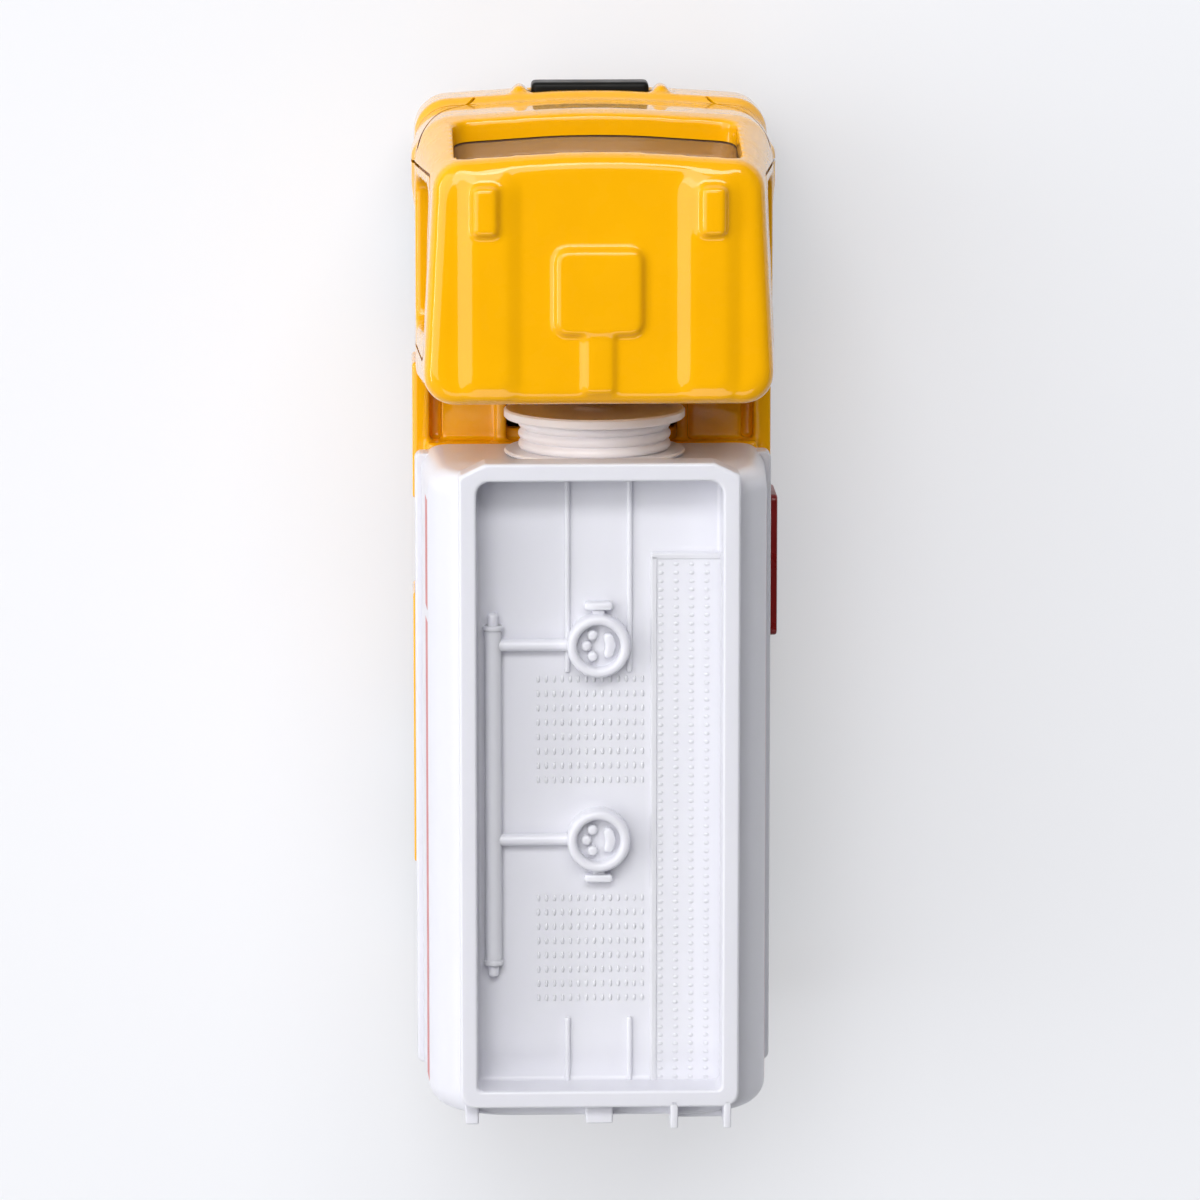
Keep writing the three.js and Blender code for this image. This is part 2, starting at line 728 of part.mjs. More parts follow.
/** Steering wheel with its hub bar and column, about an axis along Z through the origin. */
function steeringWheel() {
  const rim = Array.from({ length: smallFlats }, (_, i) => {
    const turn = (2 * Math.PI * i) / smallFlats;
    return [steeringRadius + steeringRimRadius * Math.cos(turn), steeringRimRadius * Math.sin(turn)];
  });
  const thickness = [-steeringRimRadius, steeringRimRadius];
  return join(
    turned("z", [...rim, rim[0]], roundFlats),
    rod("z", steeringRimRadius, [-steeringColumnLength, steeringRimRadius], [0, 0], smallFlats),
    block([-steeringRadius, steeringRadius], thickness, thickness),
  );
}

/** Dashboard, bench and steering wheel on one floor that fits inside the cab. */
function interior() {
  const inset = cabWall + seatGap + glassThickness + interiorMargin;
  const room = cabSpace(inset, interiorFloor - floorThickness);
  const across = [-cabHalfWidth, cabHalfWidth];
  const benchHalf = cabHalfWidth - inset - benchMargin;
  const bench = [-benchHalf, benchHalf];
  const floorTop = interiorFloor + floorThickness;
  const dashTop = cowlHeight - dashDrop;
  const fittings = join(
    block(across, [cabRear, bumperFront], [interiorFloor, floorTop]),
    block(across, [dashRear, bumperFront], [interiorFloor, dashTop]),
    block(bench, [benchRear, benchRear + benchLength], [interiorFloor, floorTop + cushionHeight]),
    block(bench, [benchRear, benchRear + benchBackDepth], [interiorFloor, floorTop + benchBackHeight]),
  );
  const wheelY = dashRear - steeringReach * Math.sin(steeringTilt);
  const wheelZ = dashTop - steeringRadius + steeringReach * Math.cos(steeringTilt);
  const steering = placed(steeringWheel(), [steeringX, wheelY, wheelZ], steeringTilt);
  return join(fittings.intersect(room), steering);
}

// Base plate, rivets and springs

/** Two upright cheeks with a slot for one axle, near the plate's edges. */
function axleCheeks(y, waist) {
  const outer = waist - cheekMargin;
  const along = [y - cheekReach, y + cheekReach];
  return blockPair([outer - cheekThickness, outer], along, [baseBottom, cheekTop]);
}

/** The trough across the plate that one axle drops into. */
function axleTrough(y, waist) {
  const half = axleRadius + runningGap;
  const bottom = axleHeight - axleDrop - half;
  return block([-waist - slotGap, waist + slotGap], [y - half, y + half], [bottom, cheekTop + slotGap]);
}

/** Black base plate with the axle cheeks, the spring seats, the front bar and the tail bar. */
function basePlate() {
  const plate = [baseBottom, baseTop];
  const seatTop = springBottom - seatGap;
  const rearSeat = [bogieY - springClampLength / 2, bogieY + springClampLength / 2];
  const spring = [-springHalfWidth, springHalfWidth];
  const noseFront = bumperFront - cabWall - cabBow - slotGap;
  const barRoot = bumperFront - plateBarRoot - cabWall / 2;
  const bar = [-plateBarHalf, plateBarHalf];
  const plates = join(
    block([-baseNoseHalf, baseNoseHalf], [noseRear, noseFront], plate),
    block([-baseFrontWaist, baseFrontWaist], [waistFrontRear, noseRear], plate),
    block([-baseMiddleHalf, baseMiddleHalf], [waistRearFront, waistFrontRear], plate),
    block([-baseRearWaist, baseRearWaist], [waistRearRear, waistRearFront], plate),
    block([-tailBarHalf, tailBarHalf], [baseRear, waistRearRear], plate),
    block([-tailBarHalf, tailBarHalf], [baseRear, baseRear + tailBarLength], [baseBottom, tailBarTop]),
    block([-padHalfWidth, padHalfWidth], [padFront - padLength, padFront], [padBottom, baseTop]),
    block(spring, [frontSeatRear, frontSeatFront], [baseBottom, seatTop]),
    block(spring, rearSeat, [baseBottom, seatTop]),
    block(bar, [barRoot, noseFront], [baseBottom, plateBarTop]),
    block(bar, [barRoot, bumperFront + plateBarProud], [plateBarBottom, plateBarTop]),
    axleCheeks(frontAxleY, baseFrontWaist),
    axleCheeks(middleAxleY, baseRearWaist),
    axleCheeks(rearAxleY, baseRearWaist),
  );
  const rivetHole = rivetRadius + runningGap;
  const holeZ = [padBottom, baseTop + padDepth];
  return cut(
    plates,
    axleTrough(frontAxleY, baseFrontWaist),
    axleTrough(middleAxleY, baseRearWaist),
    axleTrough(rearAxleY, baseRearWaist),
    rod("z", rivetHole, holeZ, [0, frontPostY], smallFlats),
    rod("z", rivetHole, holeZ, [0, rearPostY], smallFlats),
  );
}

/** A rivet with its head under the base plate, standing on the origin. */
function rivet() {
  const headTop = -seatGap / 2;
  const headBottom = headTop - rivetHeadThickness;
  const tip = baseThickness + rivetLength;
  return turned("z", [
    [0, headBottom],
    [rivetHeadFace, headBottom],
    [rivetHeadRadius, headTop - rivetHeadThickness / 2],
    [rivetHeadRadius, headTop],
    [rivetRadius, headTop],
    [rivetRadius, tip],
    [0, tip],
  ], smallFlats);
}

/** A flat spring strip between two places along the truck. */
function springStrip(rear, front) {
  return block([-springHalfWidth, springHalfWidth], [rear, front], [springBottom, springTop]);
}

// Wheels and axles, about an axis along X through the origin

/** Steel pin with a head at each end. */
function axlePin() {
  const headInner = tyreFace - hubDish + runningGap;
  const headOuter = headInner + axleHeadThickness;
  return turned("x", [
    [0, -headOuter],
    [axleHeadRadius, -headOuter],
    [axleHeadRadius, -headInner],
    [axleRadius, -headInner],
    [axleRadius, headInner],
    [axleHeadRadius, headInner],
    [axleHeadRadius, headOuter],
    [0, headOuter],
  ], roundFlats);
}

/** Radius of a polygon's corners, for flats that lie at a given radius. */
function cornerRadius(flatRadius, flats) {
  return flatRadius / Math.cos(Math.PI / flats);
}

/** Tyre from its inner face at zero to its outer face, with a groove round the middle of a twin. */
function tyre(width, twin) {
  const bore = cornerRadius(hubRadius + runningGap, tyreFlats);
  const tread = cornerRadius(tyreRadius, tyreFlats);
  const side = tread - tyreShoulder;
  const middle = width / 2;
  const half = twinGrooveWidth / 2;
  const groove = twin
    ? [[tread, middle - half], [tread - twinGrooveDepth, middle - half / 2],
      [tread - twinGrooveDepth, middle + half / 2], [tread, middle + half]]
    : [];
  return turned("x", [
    [bore, 0],
    [side, 0],
    [tread, tyreShoulder],
    ...groove,
    [tread, width - tyreShoulder],
    [side, width],
    [bore, width],
    [bore, 0],
  ], tyreFlats);
}

/** Dished hub with its bore, from the tyre's inner face at zero. */
function hub(width) {
  const bore = cornerRadius(axleRadius + runningGap, roundFlats);
  const dish = hubRadius - hubLipWidth;
  const lip = width - hubDish / 2;
  return turned("x", [
    [bore, hubInset],
    [hubRadius, hubInset],
    [hubRadius, lip],
    [dish, lip],
    [dish - hubLipWidth / 2, width - hubDish],
    [bore, width - hubDish],
    [bore, hubInset],
  ], roundFlats);
}

/** One wheel's tyre and hub, outer face out, on the right or the left side of an axle. */
function wheel(name, width, twin, side) {
  const made = group(
    [side * (tyreFace - width), 0, 0],
    mesh(`${name}_tyre`, tyre(width, twin), finishes.tyrePlastic()),
    mesh(`${name}_hub`, hub(width), finishes.hubPlastic()),
  );
  made.rotation.z = side > 0 ? 0 : Math.PI;
  return made;
}

/** An axle with a wheel at each end. */
function axleSet(name, y, width, twin) {
  return group(
    [0, y, axleHeight],
    mesh(`${name}_axle`, axlePin(), finishes.steel()),
    wheel(`${name}_left`, width, twin, -1),
    wheel(`${name}_right`, width, twin, 1),
  );
}

// Tank and hose drum

/** Barrel with rounded shoulders, flat ends and rounded upright corners. */
function barrel() {
  const section = rounded([
    [-tankHalfWidth, tankBottom, tankFootRadius],
    [tankHalfWidth, tankBottom, tankFootRadius],
    [tankHalfWidth, barrelTop, shoulderRadius],
    [-tankHalfWidth, barrelTop, shoulderRadius],
  ]);
  const ends = [tankRear, tankFront];
  const plan = roundedRectangle([-tankHalfWidth, tankHalfWidth], ends, tankCornerRadius);
  return prism("y", section, ends).intersect(prism("z", plan, [tankBottom, barrelTop]));
}

/** Outline of the tray's rim in plan, up to a given front, with its front corners cut off. */
function rimOutline(front) {
  const chamfer = rimHalfWidth - rimChamferWidth;
  return rounded([
    [-rimHalfWidth, rimRear, trayCornerRadius],
    [rimHalfWidth, rimRear, trayCornerRadius],
    [rimHalfWidth, front - rimChamferLength, rimChamferRound],
    [chamfer, front, rimChamferRound],
    [-chamfer, front, rimChamferRound],
    [-rimHalfWidth, front - rimChamferLength, rimChamferRound],
  ], cornerSteps / 2);
}

/** A manhole ring with its floor, cap, valves and hinge tab; the tab is in front or behind. */
function manhole(y, tabSide) {
  const top = trayFloor + manholeHeight;
  const root = trayFloor - trayFloorThickness / 2;
  const edge = (manholeRadius - manholeBore) / 3;
  const floor = trayFloor + manholeFloor;
  const ring = turned("z", [
    [0, root],
    [manholeRadius, root],
    [manholeRadius, top - edge],
    [manholeRadius - edge, top],
    [manholeBore + edge, top],
    [manholeBore, top - edge],
    [manholeBore, floor],
    [0, floor],
  ], tyreFlats);
  const valveZ = [root, trayFloor + valveHeight];
  const valves = Array.from({ length: valveCount }, (_, i) => {
    const turn = Math.PI + (i - (valveCount - 1) / 2) * valveStep;
    const place = [valveSpread * Math.cos(turn), y + valveSpread * Math.sin(turn)];
    return rod("z", valveRadius, valveZ, place, smallFlats);
  });
  const tabX = [-manholeTabHalf, manholeTabHalf];
  const tabEnds = [manholeRadius - edge, manholeRadius + manholeTabLength].map((d) => y + tabSide * d);
  const tabY = [Math.min(...tabEnds), Math.max(...tabEnds)];
  return join(
    placed(ring, [0, y, 0]),
    rod("z", manholeBore / 2, valveZ, [manholeBore / 2, y], smallFlats),
    ...valves,
    block(tabX, tabY, [root, trayFloor + manholeTabHeight]),
  );
}

/** Pipe along the left of the tray with its collars, tips and branches to the manholes. */
function trayPipe() {
  const z = trayFloor + pipeRise;
  const place = [pipeX, z];
  const ends = [pipeRear + pipeTipLength, pipeFront - pipeTipLength];
  const branchEnd = -(manholeRadius + manholeBore) / 2;
  const branch = (y) => rod("x", branchRadius, [pipeX, branchEnd], [y, z], smallFlats);
  return join(
    rod("y", pipeRadius, ends, place, smallFlats),
    rod("y", pipeTipRadius, [pipeRear, pipeFront], place, smallFlats),
    rod("y", pipeCollarRadius, [ends[0], ends[0] + pipeCollarLength], place, smallFlats),
    rod("y", pipeCollarRadius, [ends[1] - pipeCollarLength, ends[1]], place, smallFlats),
    branch(frontManholeY),
    branch(rearManholeY),
  );
}

/** Walkway with its border along the right of the tray, and the low ribs at the tray's ends. */
function trayFloorDetails() {
  const root = trayFloor - trayFloorThickness / 2;
  const inner = rimHalfWidth - rimWall / 2;
  const rear = rimRear + rimWall / 2;
  const front = rimFront - rimFrontWall / 2;
  const plateTop = trayFloor + walkwayHeight;
  const borderTop = plateTop + walkwayBorderHeight;
  const ribTop = trayFloor + trayRibHeight;
  const rib = [trayRibX - trayRibWidth / 2, trayRibX + trayRibWidth / 2];
  const ribsAt = (y) => blockPair(rib, y, [root, ribTop]);
  return join(
    block([walkwayInner, inner], [rear, walkwayFront], [root, plateTop]),
    block([walkwayInner, walkwayInner + walkwayBorder], [rear, walkwayFront], [root, borderTop]),
    block([walkwayInner, inner], [walkwayFront - walkwayBorder, walkwayFront], [root, borderTop]),
    ribsAt([front - frontRibLength, front]),
    ribsAt([rear, rear + rearRibLength]),
  );
}

/** Ladder, tail post and corner post on the tank's rear. */
function rearFittings() {
  const rear = tankRear - ladderProud;
  const foot = ledgeTop - ladderFootDrop;
  const root = rimRear + rimWall / 2;
  const half = ladderRailWidth / 2;
  const rail = (x) => block([x - half, x + half], [rear, root], [foot, rimTop]);
  const railX = [ladderX - ladderSpread, ladderX + ladderSpread];
  const pitch = (rimTop - foot) / (ladderRungs + 1);
  const rungRear = rear + ladderRungSize / 4;
  const rungY = [rungRear, rungRear + ladderRungSize];
  const rungs = Array.from({ length: ladderRungs }, (_, i) => {
    const z = foot + pitch * (i + 1);
    return block(railX, rungY, [z - ladderRungSize / 2, z + ladderRungSize / 2]);
  });
  const postTop = rimTop - tailPostTop;
  const postY = [tankRear - tailPostProud, root];
  const cornerPost = [cornerPostX - cornerPostHalf, cornerPostX + cornerPostHalf];
  return join(
    ...railX.map(rail),
    ...rungs,
    block([-tailPostHalf, tailPostHalf], postY, [foot, postTop]),
    block(cornerPost, postY, [postTop - cornerPostHeight, postTop]),
  );
}

/** White tank, open underneath, with all that is moulded on it. */
function tankBody() {
  const ledgeY = [tankRear + ledgeRearSetback, tankFront - ledgeFrontSetback];
  const ledge = roundedRectangle([-ledgeHalfWidth, ledgeHalfWidth], ledgeY, ledgeCornerRadius);
  const trayX = [-rimHalfWidth + rimWall, rimHalfWidth - rimWall];
  const trayY = [rimRear + rimWall, rimFront - rimFrontWall];
  const tray = roundedRectangle(trayX, trayY, trayCornerRadius);
  const hollowX = [-tankHalfWidth + tankWall, tankHalfWidth - tankWall];
  const hollowTop = trayFloor - trayFloorThickness;
  const hollow = rounded([
    [hollowX[0], tankBottom - tankWall, tankFootRadius],
    [hollowX[1], tankBottom - tankWall, tankFootRadius],
    [hollowX[1], hollowTop, shoulderRadius - tankWall],
    [hollowX[0], hollowTop, shoulderRadius - tankWall],
  ]);
  const hollowY = [tankRear + tankWall, tankFront - tankFrontWall];
  const rim = loft("z", [
    { at: hollowTop, outline: rimOutline(tankFront - tankWall / 2) },
    { at: barrelTop, outline: rimOutline(rimFront) },
    { at: rimTop, outline: rimOutline(rimFront) },
  ]);
  const shell = cut(
    join(barrel(), prism("z", ledge, [tankBottom, ledgeTop]), rim),
    prism("z", tray, [trayFloor, rimTop + rimWall]),
    prism("y", hollow, hollowY),
  );
  const postZ = [deckBottom, hollowTop + tankWall / 2];
  const whole = join(
    shell,
    rod("z", tankPostRadius, postZ, [0, tankPostFrontY]),
    rod("z", tankPostRadius, postZ, [0, tankPostRearY]),
    manhole(frontManholeY, 1),
    manhole(rearManholeY, -1),
    trayPipe(),
    trayFloorDetails(),
    rearFittings(),
  );
  const socket = drumPegRadius + runningGap;
  const socketY = [tankFront + drumStandoff - drumPegLength - slotGap, tankFront + tankWall];
  return cut(whole, rod("y", socket, socketY, [0, drumHeight], roundFlats));
}

/** Ribbed drum between two flanges with a peg behind, about an axis along Y; its rear face is at zero. */
function hoseDrum() {
  const lastFlange = drumLength - drumFrontFlange;
  const wound = lastFlange - drumRearFlange;
  const pitch = wound / drumRibs;
  const crest = drumCoreRadius + drumRibHeight;
  const ribs = Array.from({ length: drumRibs }, (_, i) => {
    const start = drumRearFlange + i * pitch;
    return [
      [drumCoreRadius, start],
      [crest, start + drumRibFlank * pitch],
      [crest, start + (1 - drumRibFlank) * pitch],
    ];
  });
  return turned("y", [
    [0, -drumPegLength],
    [drumPegRadius, -drumPegLength],
    [drumPegRadius, 0],
    [drumFlangeRadius, 0],
    [drumFlangeRadius, drumRearFlange],
    ...ribs.flat(),
    [drumCoreRadius, lastFlange],
    [drumFlangeRadius, lastFlange],
    [drumFlangeRadius, drumLength],
    [0, drumLength],
  ], drumFlats);
}

/** Red locker that hangs under the deck. */
function sideLocker() {
  const heights = [lockerBottom, deckBottom - seatGap];
  const outline = roundedRectangle([lockerRear, lockerFront], heights, lockerCornerRadius);
  const outer = sideHalfWidth + lockerProud;
  return prism("x", outline, [outer - lockerDepth, outer]);
}

const frontSpring = springStrip(frontAxleY - springOverhang, frontSeatFront);
const rearSpring = springStrip(rearAxleY - springOverhang, middleAxleY + springOverhang);

const truck = group(
  [0, 0, 0],
  mesh("cab_and_frame", cabAndFrame(), finishes.paint()),
  mesh("window_insert", windowInsert(), finishes.clearPlastic()),
  mesh("interior", interior(), finishes.greyPlastic()),
  mesh("base_plate", basePlate(), finishes.blackPlastic()),
  group([0, frontPostY, baseBottom], mesh("front_rivet", rivet(), finishes.steel())),
  group([0, rearPostY, baseBottom], mesh("rear_rivet", rivet(), finishes.steel())),
  mesh("front_spring", frontSpring, finishes.steel()),
  mesh("rear_spring", rearSpring, finishes.steel()),
  axleSet("front", frontAxleY, singleTyreWidth, false),
  axleSet("middle", middleAxleY, twinTyreWidth, true),
  axleSet("rear", rearAxleY, twinTyreWidth, true),
  mesh("tank_body", tankBody(), finishes.whitePlastic()),
  group([0, tankFront + drumStandoff, drumHeight], mesh("hose_drum", hoseDrum(), finishes.whitePlastic())),
  mesh("side_locker", sideLocker(), finishes.redPlastic()),
);

export default truck;
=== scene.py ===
"""Looks of a pocket-size die-cast tanker truck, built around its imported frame.

Sizes are in millimetres while a piece is shaped, and in metres once it is delivered.
+Z is up, +Y points to the front bumper and +X to the truck's right-hand side.
"""

from __future__ import annotations

import logging
import math
from collections.abc import Sequence
from dataclasses import dataclass, field, replace
from enum import Enum

import bmesh
import bpy
from mathutils import Matrix, Vector


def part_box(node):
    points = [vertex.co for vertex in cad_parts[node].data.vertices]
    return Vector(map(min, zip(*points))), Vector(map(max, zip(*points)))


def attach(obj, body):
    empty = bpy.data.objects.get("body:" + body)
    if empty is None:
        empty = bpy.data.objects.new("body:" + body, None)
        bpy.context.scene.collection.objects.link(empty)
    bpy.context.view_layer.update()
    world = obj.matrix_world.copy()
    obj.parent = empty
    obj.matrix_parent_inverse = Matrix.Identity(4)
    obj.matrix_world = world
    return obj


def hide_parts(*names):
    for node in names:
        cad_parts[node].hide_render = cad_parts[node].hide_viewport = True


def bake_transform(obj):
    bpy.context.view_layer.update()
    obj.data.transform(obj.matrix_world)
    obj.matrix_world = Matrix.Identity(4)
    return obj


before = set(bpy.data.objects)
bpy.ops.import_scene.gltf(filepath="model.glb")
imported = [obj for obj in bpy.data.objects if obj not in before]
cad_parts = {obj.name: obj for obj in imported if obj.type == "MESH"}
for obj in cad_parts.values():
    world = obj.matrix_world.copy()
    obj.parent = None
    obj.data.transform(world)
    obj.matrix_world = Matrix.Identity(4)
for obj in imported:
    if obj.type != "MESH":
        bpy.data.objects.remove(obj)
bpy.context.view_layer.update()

log = logging.getLogger("tanker")

Span = tuple[float, float]
Corner = tuple[float, float, float]
Colour = tuple[float, float, float, float]
MM = 0.001

# Places along the truck and above the floor that several sub-assemblies share.
FRONT_AXLE, MIDDLE_AXLE, REAR_AXLE = 24.0, -15.2, -26.4
AXLE_HEIGHT = 5.0
ARCH_RADIUS, ARCH_INSIDE = 6.1, 7.4
RIVETS = (30.6, -32.2)

PLASTIC_IOR = 1.49

# Angles at which a round edge is drawn.
QUARTER_TURN = [math.radians(a) for a in (0, 22.5, 45, 67.5, 90)]


class Axis(Enum):
    """The direction that an outline is pushed or turned along."""

    X = "x"
    Y = "y"
    Z = "z"

    @property
    def turn(self) -> Matrix:
        """Matrix that takes (across, up, along) to the truck's own directions."""
        rows = {
            "x": ((0, 0, 1), (1, 0, 0), (0, 1, 0)),
            "y": ((1, 0, 0), (0, 0, 1), (0, 1, 0)),
            "z": ((1, 0, 0), (0, 1, 0), (0, 0, 1)),
        }
        return Matrix(rows[self.value]).to_4x4()


class Side(Enum):
    """Left or right, as the driver sees them."""

    LEFT = -1
    RIGHT = 1


class Carving(Enum):
    """What one form does to another."""

    AWAY = "DIFFERENCE"
    JOIN = "UNION"


class Form:
    """A closed form in millimetres, shaped by bmesh operators."""

    def __init__(self) -> None:
        """Starts with nothing."""
        self.mesh = bmesh.new()

    @classmethod
    def block(cls, x: Span, y: Span, z: Span, edge: float = 0.0, steps: int = 2) -> Form:
        """A rectangular block.

        Args:
            x, y, z: Lowest and highest value along each axis.
            edge: Rounding of its edges.
            steps: Flats across each rounding.

        Returns:
            The new form.
        """
        made = cls()
        low, high = (Vector(ends) for ends in zip(x, y, z))
        bmesh.ops.create_cube(made.mesh, size=1.0)
        bmesh.ops.scale(made.mesh, vec=high - low, verts=made.mesh.verts)
        bmesh.ops.translate(made.mesh, vec=(low + high) / 2, verts=made.mesh.verts)
        return made.round_edges(edge, steps)

    @classmethod
    def rod(
        cls, axis: Axis, radius: float, span: Span, centre: Span, edge: float = 0.0, flats: int = 40
    ) -> Form:
        """A round bar along one axis.

        Args:
            axis: Direction of the bar.
            radius: Its radius.
            span: Where it starts and ends along the axis.
            centre: Its middle on the other two axes, in x, y, z order.
            edge: Rounding of its two rims.
            flats: Flats round the bar.

        Returns:
            The new form.
        """
        made = cls()
        length = span[1] - span[0]
        ends = {"radius1": radius, "radius2": radius, "depth": length}
        bmesh.ops.create_cone(made.mesh, cap_ends=True, segments=flats, **ends)
        place = (centre[0], centre[1], span[0] + length / 2)
        bmesh.ops.translate(made.mesh, vec=place, verts=made.mesh.verts)
        return made.turn(axis).round_edges(edge, 3, math.radians(50))

    @classmethod
    def plate(
        cls, axis: Axis, corners: Sequence[Corner], span: Span, edge: float = 0.0, steps: int = 6
    ) -> Form:
        """An outline with rounded corners, pushed along an axis.

        Args:
            axis: Direction of the push.
            corners: Places and radii of the outline's corners.
            span: Where the plate starts and ends along the axis.
            edge: Rounding of its two rims.
            steps: Flats round each corner.

        Returns:
            The new form.
        """
        made = cls()
        face = made.outline(corners, steps, span[0])
        pushed = bmesh.ops.extrude_face_region(made.mesh, geom=[face])["geom"]
        raised = [item for item in pushed if isinstance(item, bmesh.types.BMVert)]
        bmesh.ops.translate(made.mesh, vec=(0, 0, span[1] - span[0]), verts=raised)
        return made.turn(axis).round_edges(edge, 2, math.radians(60))

    @classmethod
    def loft(
        cls, axis: Axis, levels: Sequence[tuple[float, Sequence[Corner]]], steps: int = 8
    ) -> Form:
        """A skin stretched over outlines at rising places along an axis.

        Args:
            axis: Direction in which the outlines follow each other.
            levels: Place and corners of each outline; all have equally many corners.
            steps: Flats round each corner.

        Returns:
            The new form.
        """
        made = cls()
        faces = [made.outline(corners, steps, place) for place, corners in levels]
        loops = [list(face.edges) for face in faces]
        bmesh.ops.delete(made.mesh, geom=faces[1:-1], context="FACES_ONLY")
        for lower, upper in zip(loops, loops[1:]):
            bmesh.ops.bridge_loops(made.mesh, edges=lower + upper)
        return made.turn(axis)

    @classmethod
    def lathe(
        cls, axis: Axis, profile: Sequence[Span], steps: int = 72, closed: bool = False
    ) -> Form:
        """A profile turned about an axis through the origin.

        Args:
            axis: The axis.
            profile: (radius, place along the axis) points.
            steps: Flats round the axis.
            closed: Whether the profile's last point joins its first.

        Returns:
            The new form.
        """
        made = cls()
        points = [made.mesh.verts.new((radius, 0, along)) for radius, along in profile]
        pairs = list(zip(points, points[1:])) + ([(points[-1], points[0])] if closed else [])
        edges = [made.mesh.edges.new(pair) for pair in pairs]
        around = {"cent": (0, 0, 0), "axis": (0, 0, 1), "angle": math.tau, "steps": steps}
        bmesh.ops.spin(made.mesh, geom=points + edges, use_merge=True, **around)
        return made.turn(axis)

    @classmethod
    def pill(cls, size: Corner, centre: Corner) -> Form:
        """A small low-poly bead, stretched to a size, at a place."""
        made = cls()
        bmesh.ops.create_uvsphere(made.mesh, u_segments=8, v_segments=4, radius=0.5)
        bmesh.ops.scale(made.mesh, vec=size, verts=made.mesh.verts)
        bmesh.ops.translate(made.mesh, vec=centre, verts=made.mesh.verts)
        return made

    def outline(self, corners: Sequence[Corner], steps: int, height: float) -> bmesh.types.BMFace:
        """Draws a closed outline and rounds its corners.

        Args:
            corners: Place and radius of each corner.
            steps: Flats round each corner.
            height: Where it lies.

        Returns:
            The face inside the outline.
        """
        points = [self.mesh.verts.new((a, b, height)) for a, b, _ in corners]
        self.mesh.faces.new(points)
        count = len(corners)
        for i, (a, b, radius) in enumerate(corners):
            if radius <= 0:
                continue
            here = Vector((a, b))
            back = (Vector(corners[i - 1][:2]) - here).normalized()
            ahead = (Vector(corners[(i + 1) % count][:2]) - here).normalized()
            reach = radius / math.tan(back.angle(ahead) / 2)
            self.bevel([points[i]], reach, steps, "VERTICES")
        self.mesh.faces.ensure_lookup_table()
        return self.mesh.faces[-1]

    def turn(self, axis: Axis) -> Form:
        """Turns the form to the truck's directions, closes it and faces its skin outwards."""
        bmesh.ops.transform(self.mesh, matrix=axis.turn, verts=self.mesh.verts)
        bmesh.ops.remove_doubles(self.mesh, verts=self.mesh.verts, dist=1e-4)
        bmesh.ops.recalc_face_normals(self.mesh, faces=self.mesh.faces)
        return self

    def round_edges(self, edge: float, steps: int = 2, over: float = math.radians(35)) -> Form:
        """Rounds every edge that turns by more than an angle.

        Args:
            edge: Width of the rounding; nothing is done for zero.
            steps: Flats across it.
            over: The angle.

        Returns:
            The same form.
        """
        if edge > 0:
            turns = [e for e in self.mesh.edges if e.calc_face_angle(0.0) > over]
            self.bevel(turns, edge, steps, "EDGES")
        return self

    def bevel(self, places: list[object], reach: float, steps: int, affect: str) -> None:
        """Rounds some corners or edges.

        Args:
            places: The corners or edges.
            reach: How far the rounding reaches from each of them.
            steps: Flats across it.
            affect: VERTICES for corners, EDGES for edges.
        """
        bmesh.ops.bevel(
            self.mesh,
            geom=places,
            offset=reach,
            offset_type="OFFSET",
            segments=steps,
            profile=0.5,
            affect=affect,
            clamp_overlap=affect == "EDGES",
            material=-1,
        )

    def move(self, x: float = 0.0, y: float = 0.0, z: float = 0.0) -> Form:
        """Moves the form."""
        bmesh.ops.translate(self.mesh, vec=(x, y, z), verts=self.mesh.verts)
        return self

    def tilt(self, angle: float, axis: Axis = Axis.X) -> Form:
        """Turns the form about an axis through the origin."""
        turn = Matrix.Rotation(angle, 3, axis.name)
        bmesh.ops.rotate(self.mesh, cent=(0, 0, 0), matrix=turn, verts=self.mesh.verts)
        return self

    def twin(self) -> Form:
        """A copy on the other side of the truck's middle plane."""
        made = Form().add(self)
        bmesh.ops.scale(made.mesh, vec=(-1, 1, 1), verts=made.mesh.verts)
        bmesh.ops.reverse_faces(made.mesh, faces=made.mesh.faces)
        return made

    def add(self, *others: Form) -> Form:
        """Lays other forms into this one, without joining their walls."""
        for other in others:
            sheet = bpy.data.meshes.new("sheet")
            other.mesh.to_mesh(sheet)
            self.mesh.from_mesh(sheet)
            bpy.data.meshes.remove(sheet)
        return self

    def carve(self, how: Carving, *tools: Form) -> Form:
        """Cuts other forms away or joins them on, one after another.

        Args:
            how: What the tools do.
            tools: The other forms.

        Returns:
            The same form.
        """
        for tool in tools:
            cutter = tool.loose("cutter")
            settings = {"operation": how.value, "solver": "MANIFOLD", "object": cutter}
            self.pass_through(("BOOLEAN", settings))
            drop(cutter)
        return self

    def soften(self, grain: float, passes: int, share: float = 1.0) -> Form:
        """Melts all edges and inside corners together, as thick paint or a mould's radii do.

        Args:
            grain: Size of the finest detail that stays.
            passes: How often the skin is smoothed.
            share: Share of the triangles that is kept.

        Returns:
            The same form.
        """
        self.pass_through(
            ("REMESH", {"mode": "VOXEL", "voxel_size": grain}),
            ("SMOOTH", {"factor": 0.5, "iterations": passes}),
        )
        return self.pass_through(("DECIMATE", {"ratio": share})) if share < 1 else self

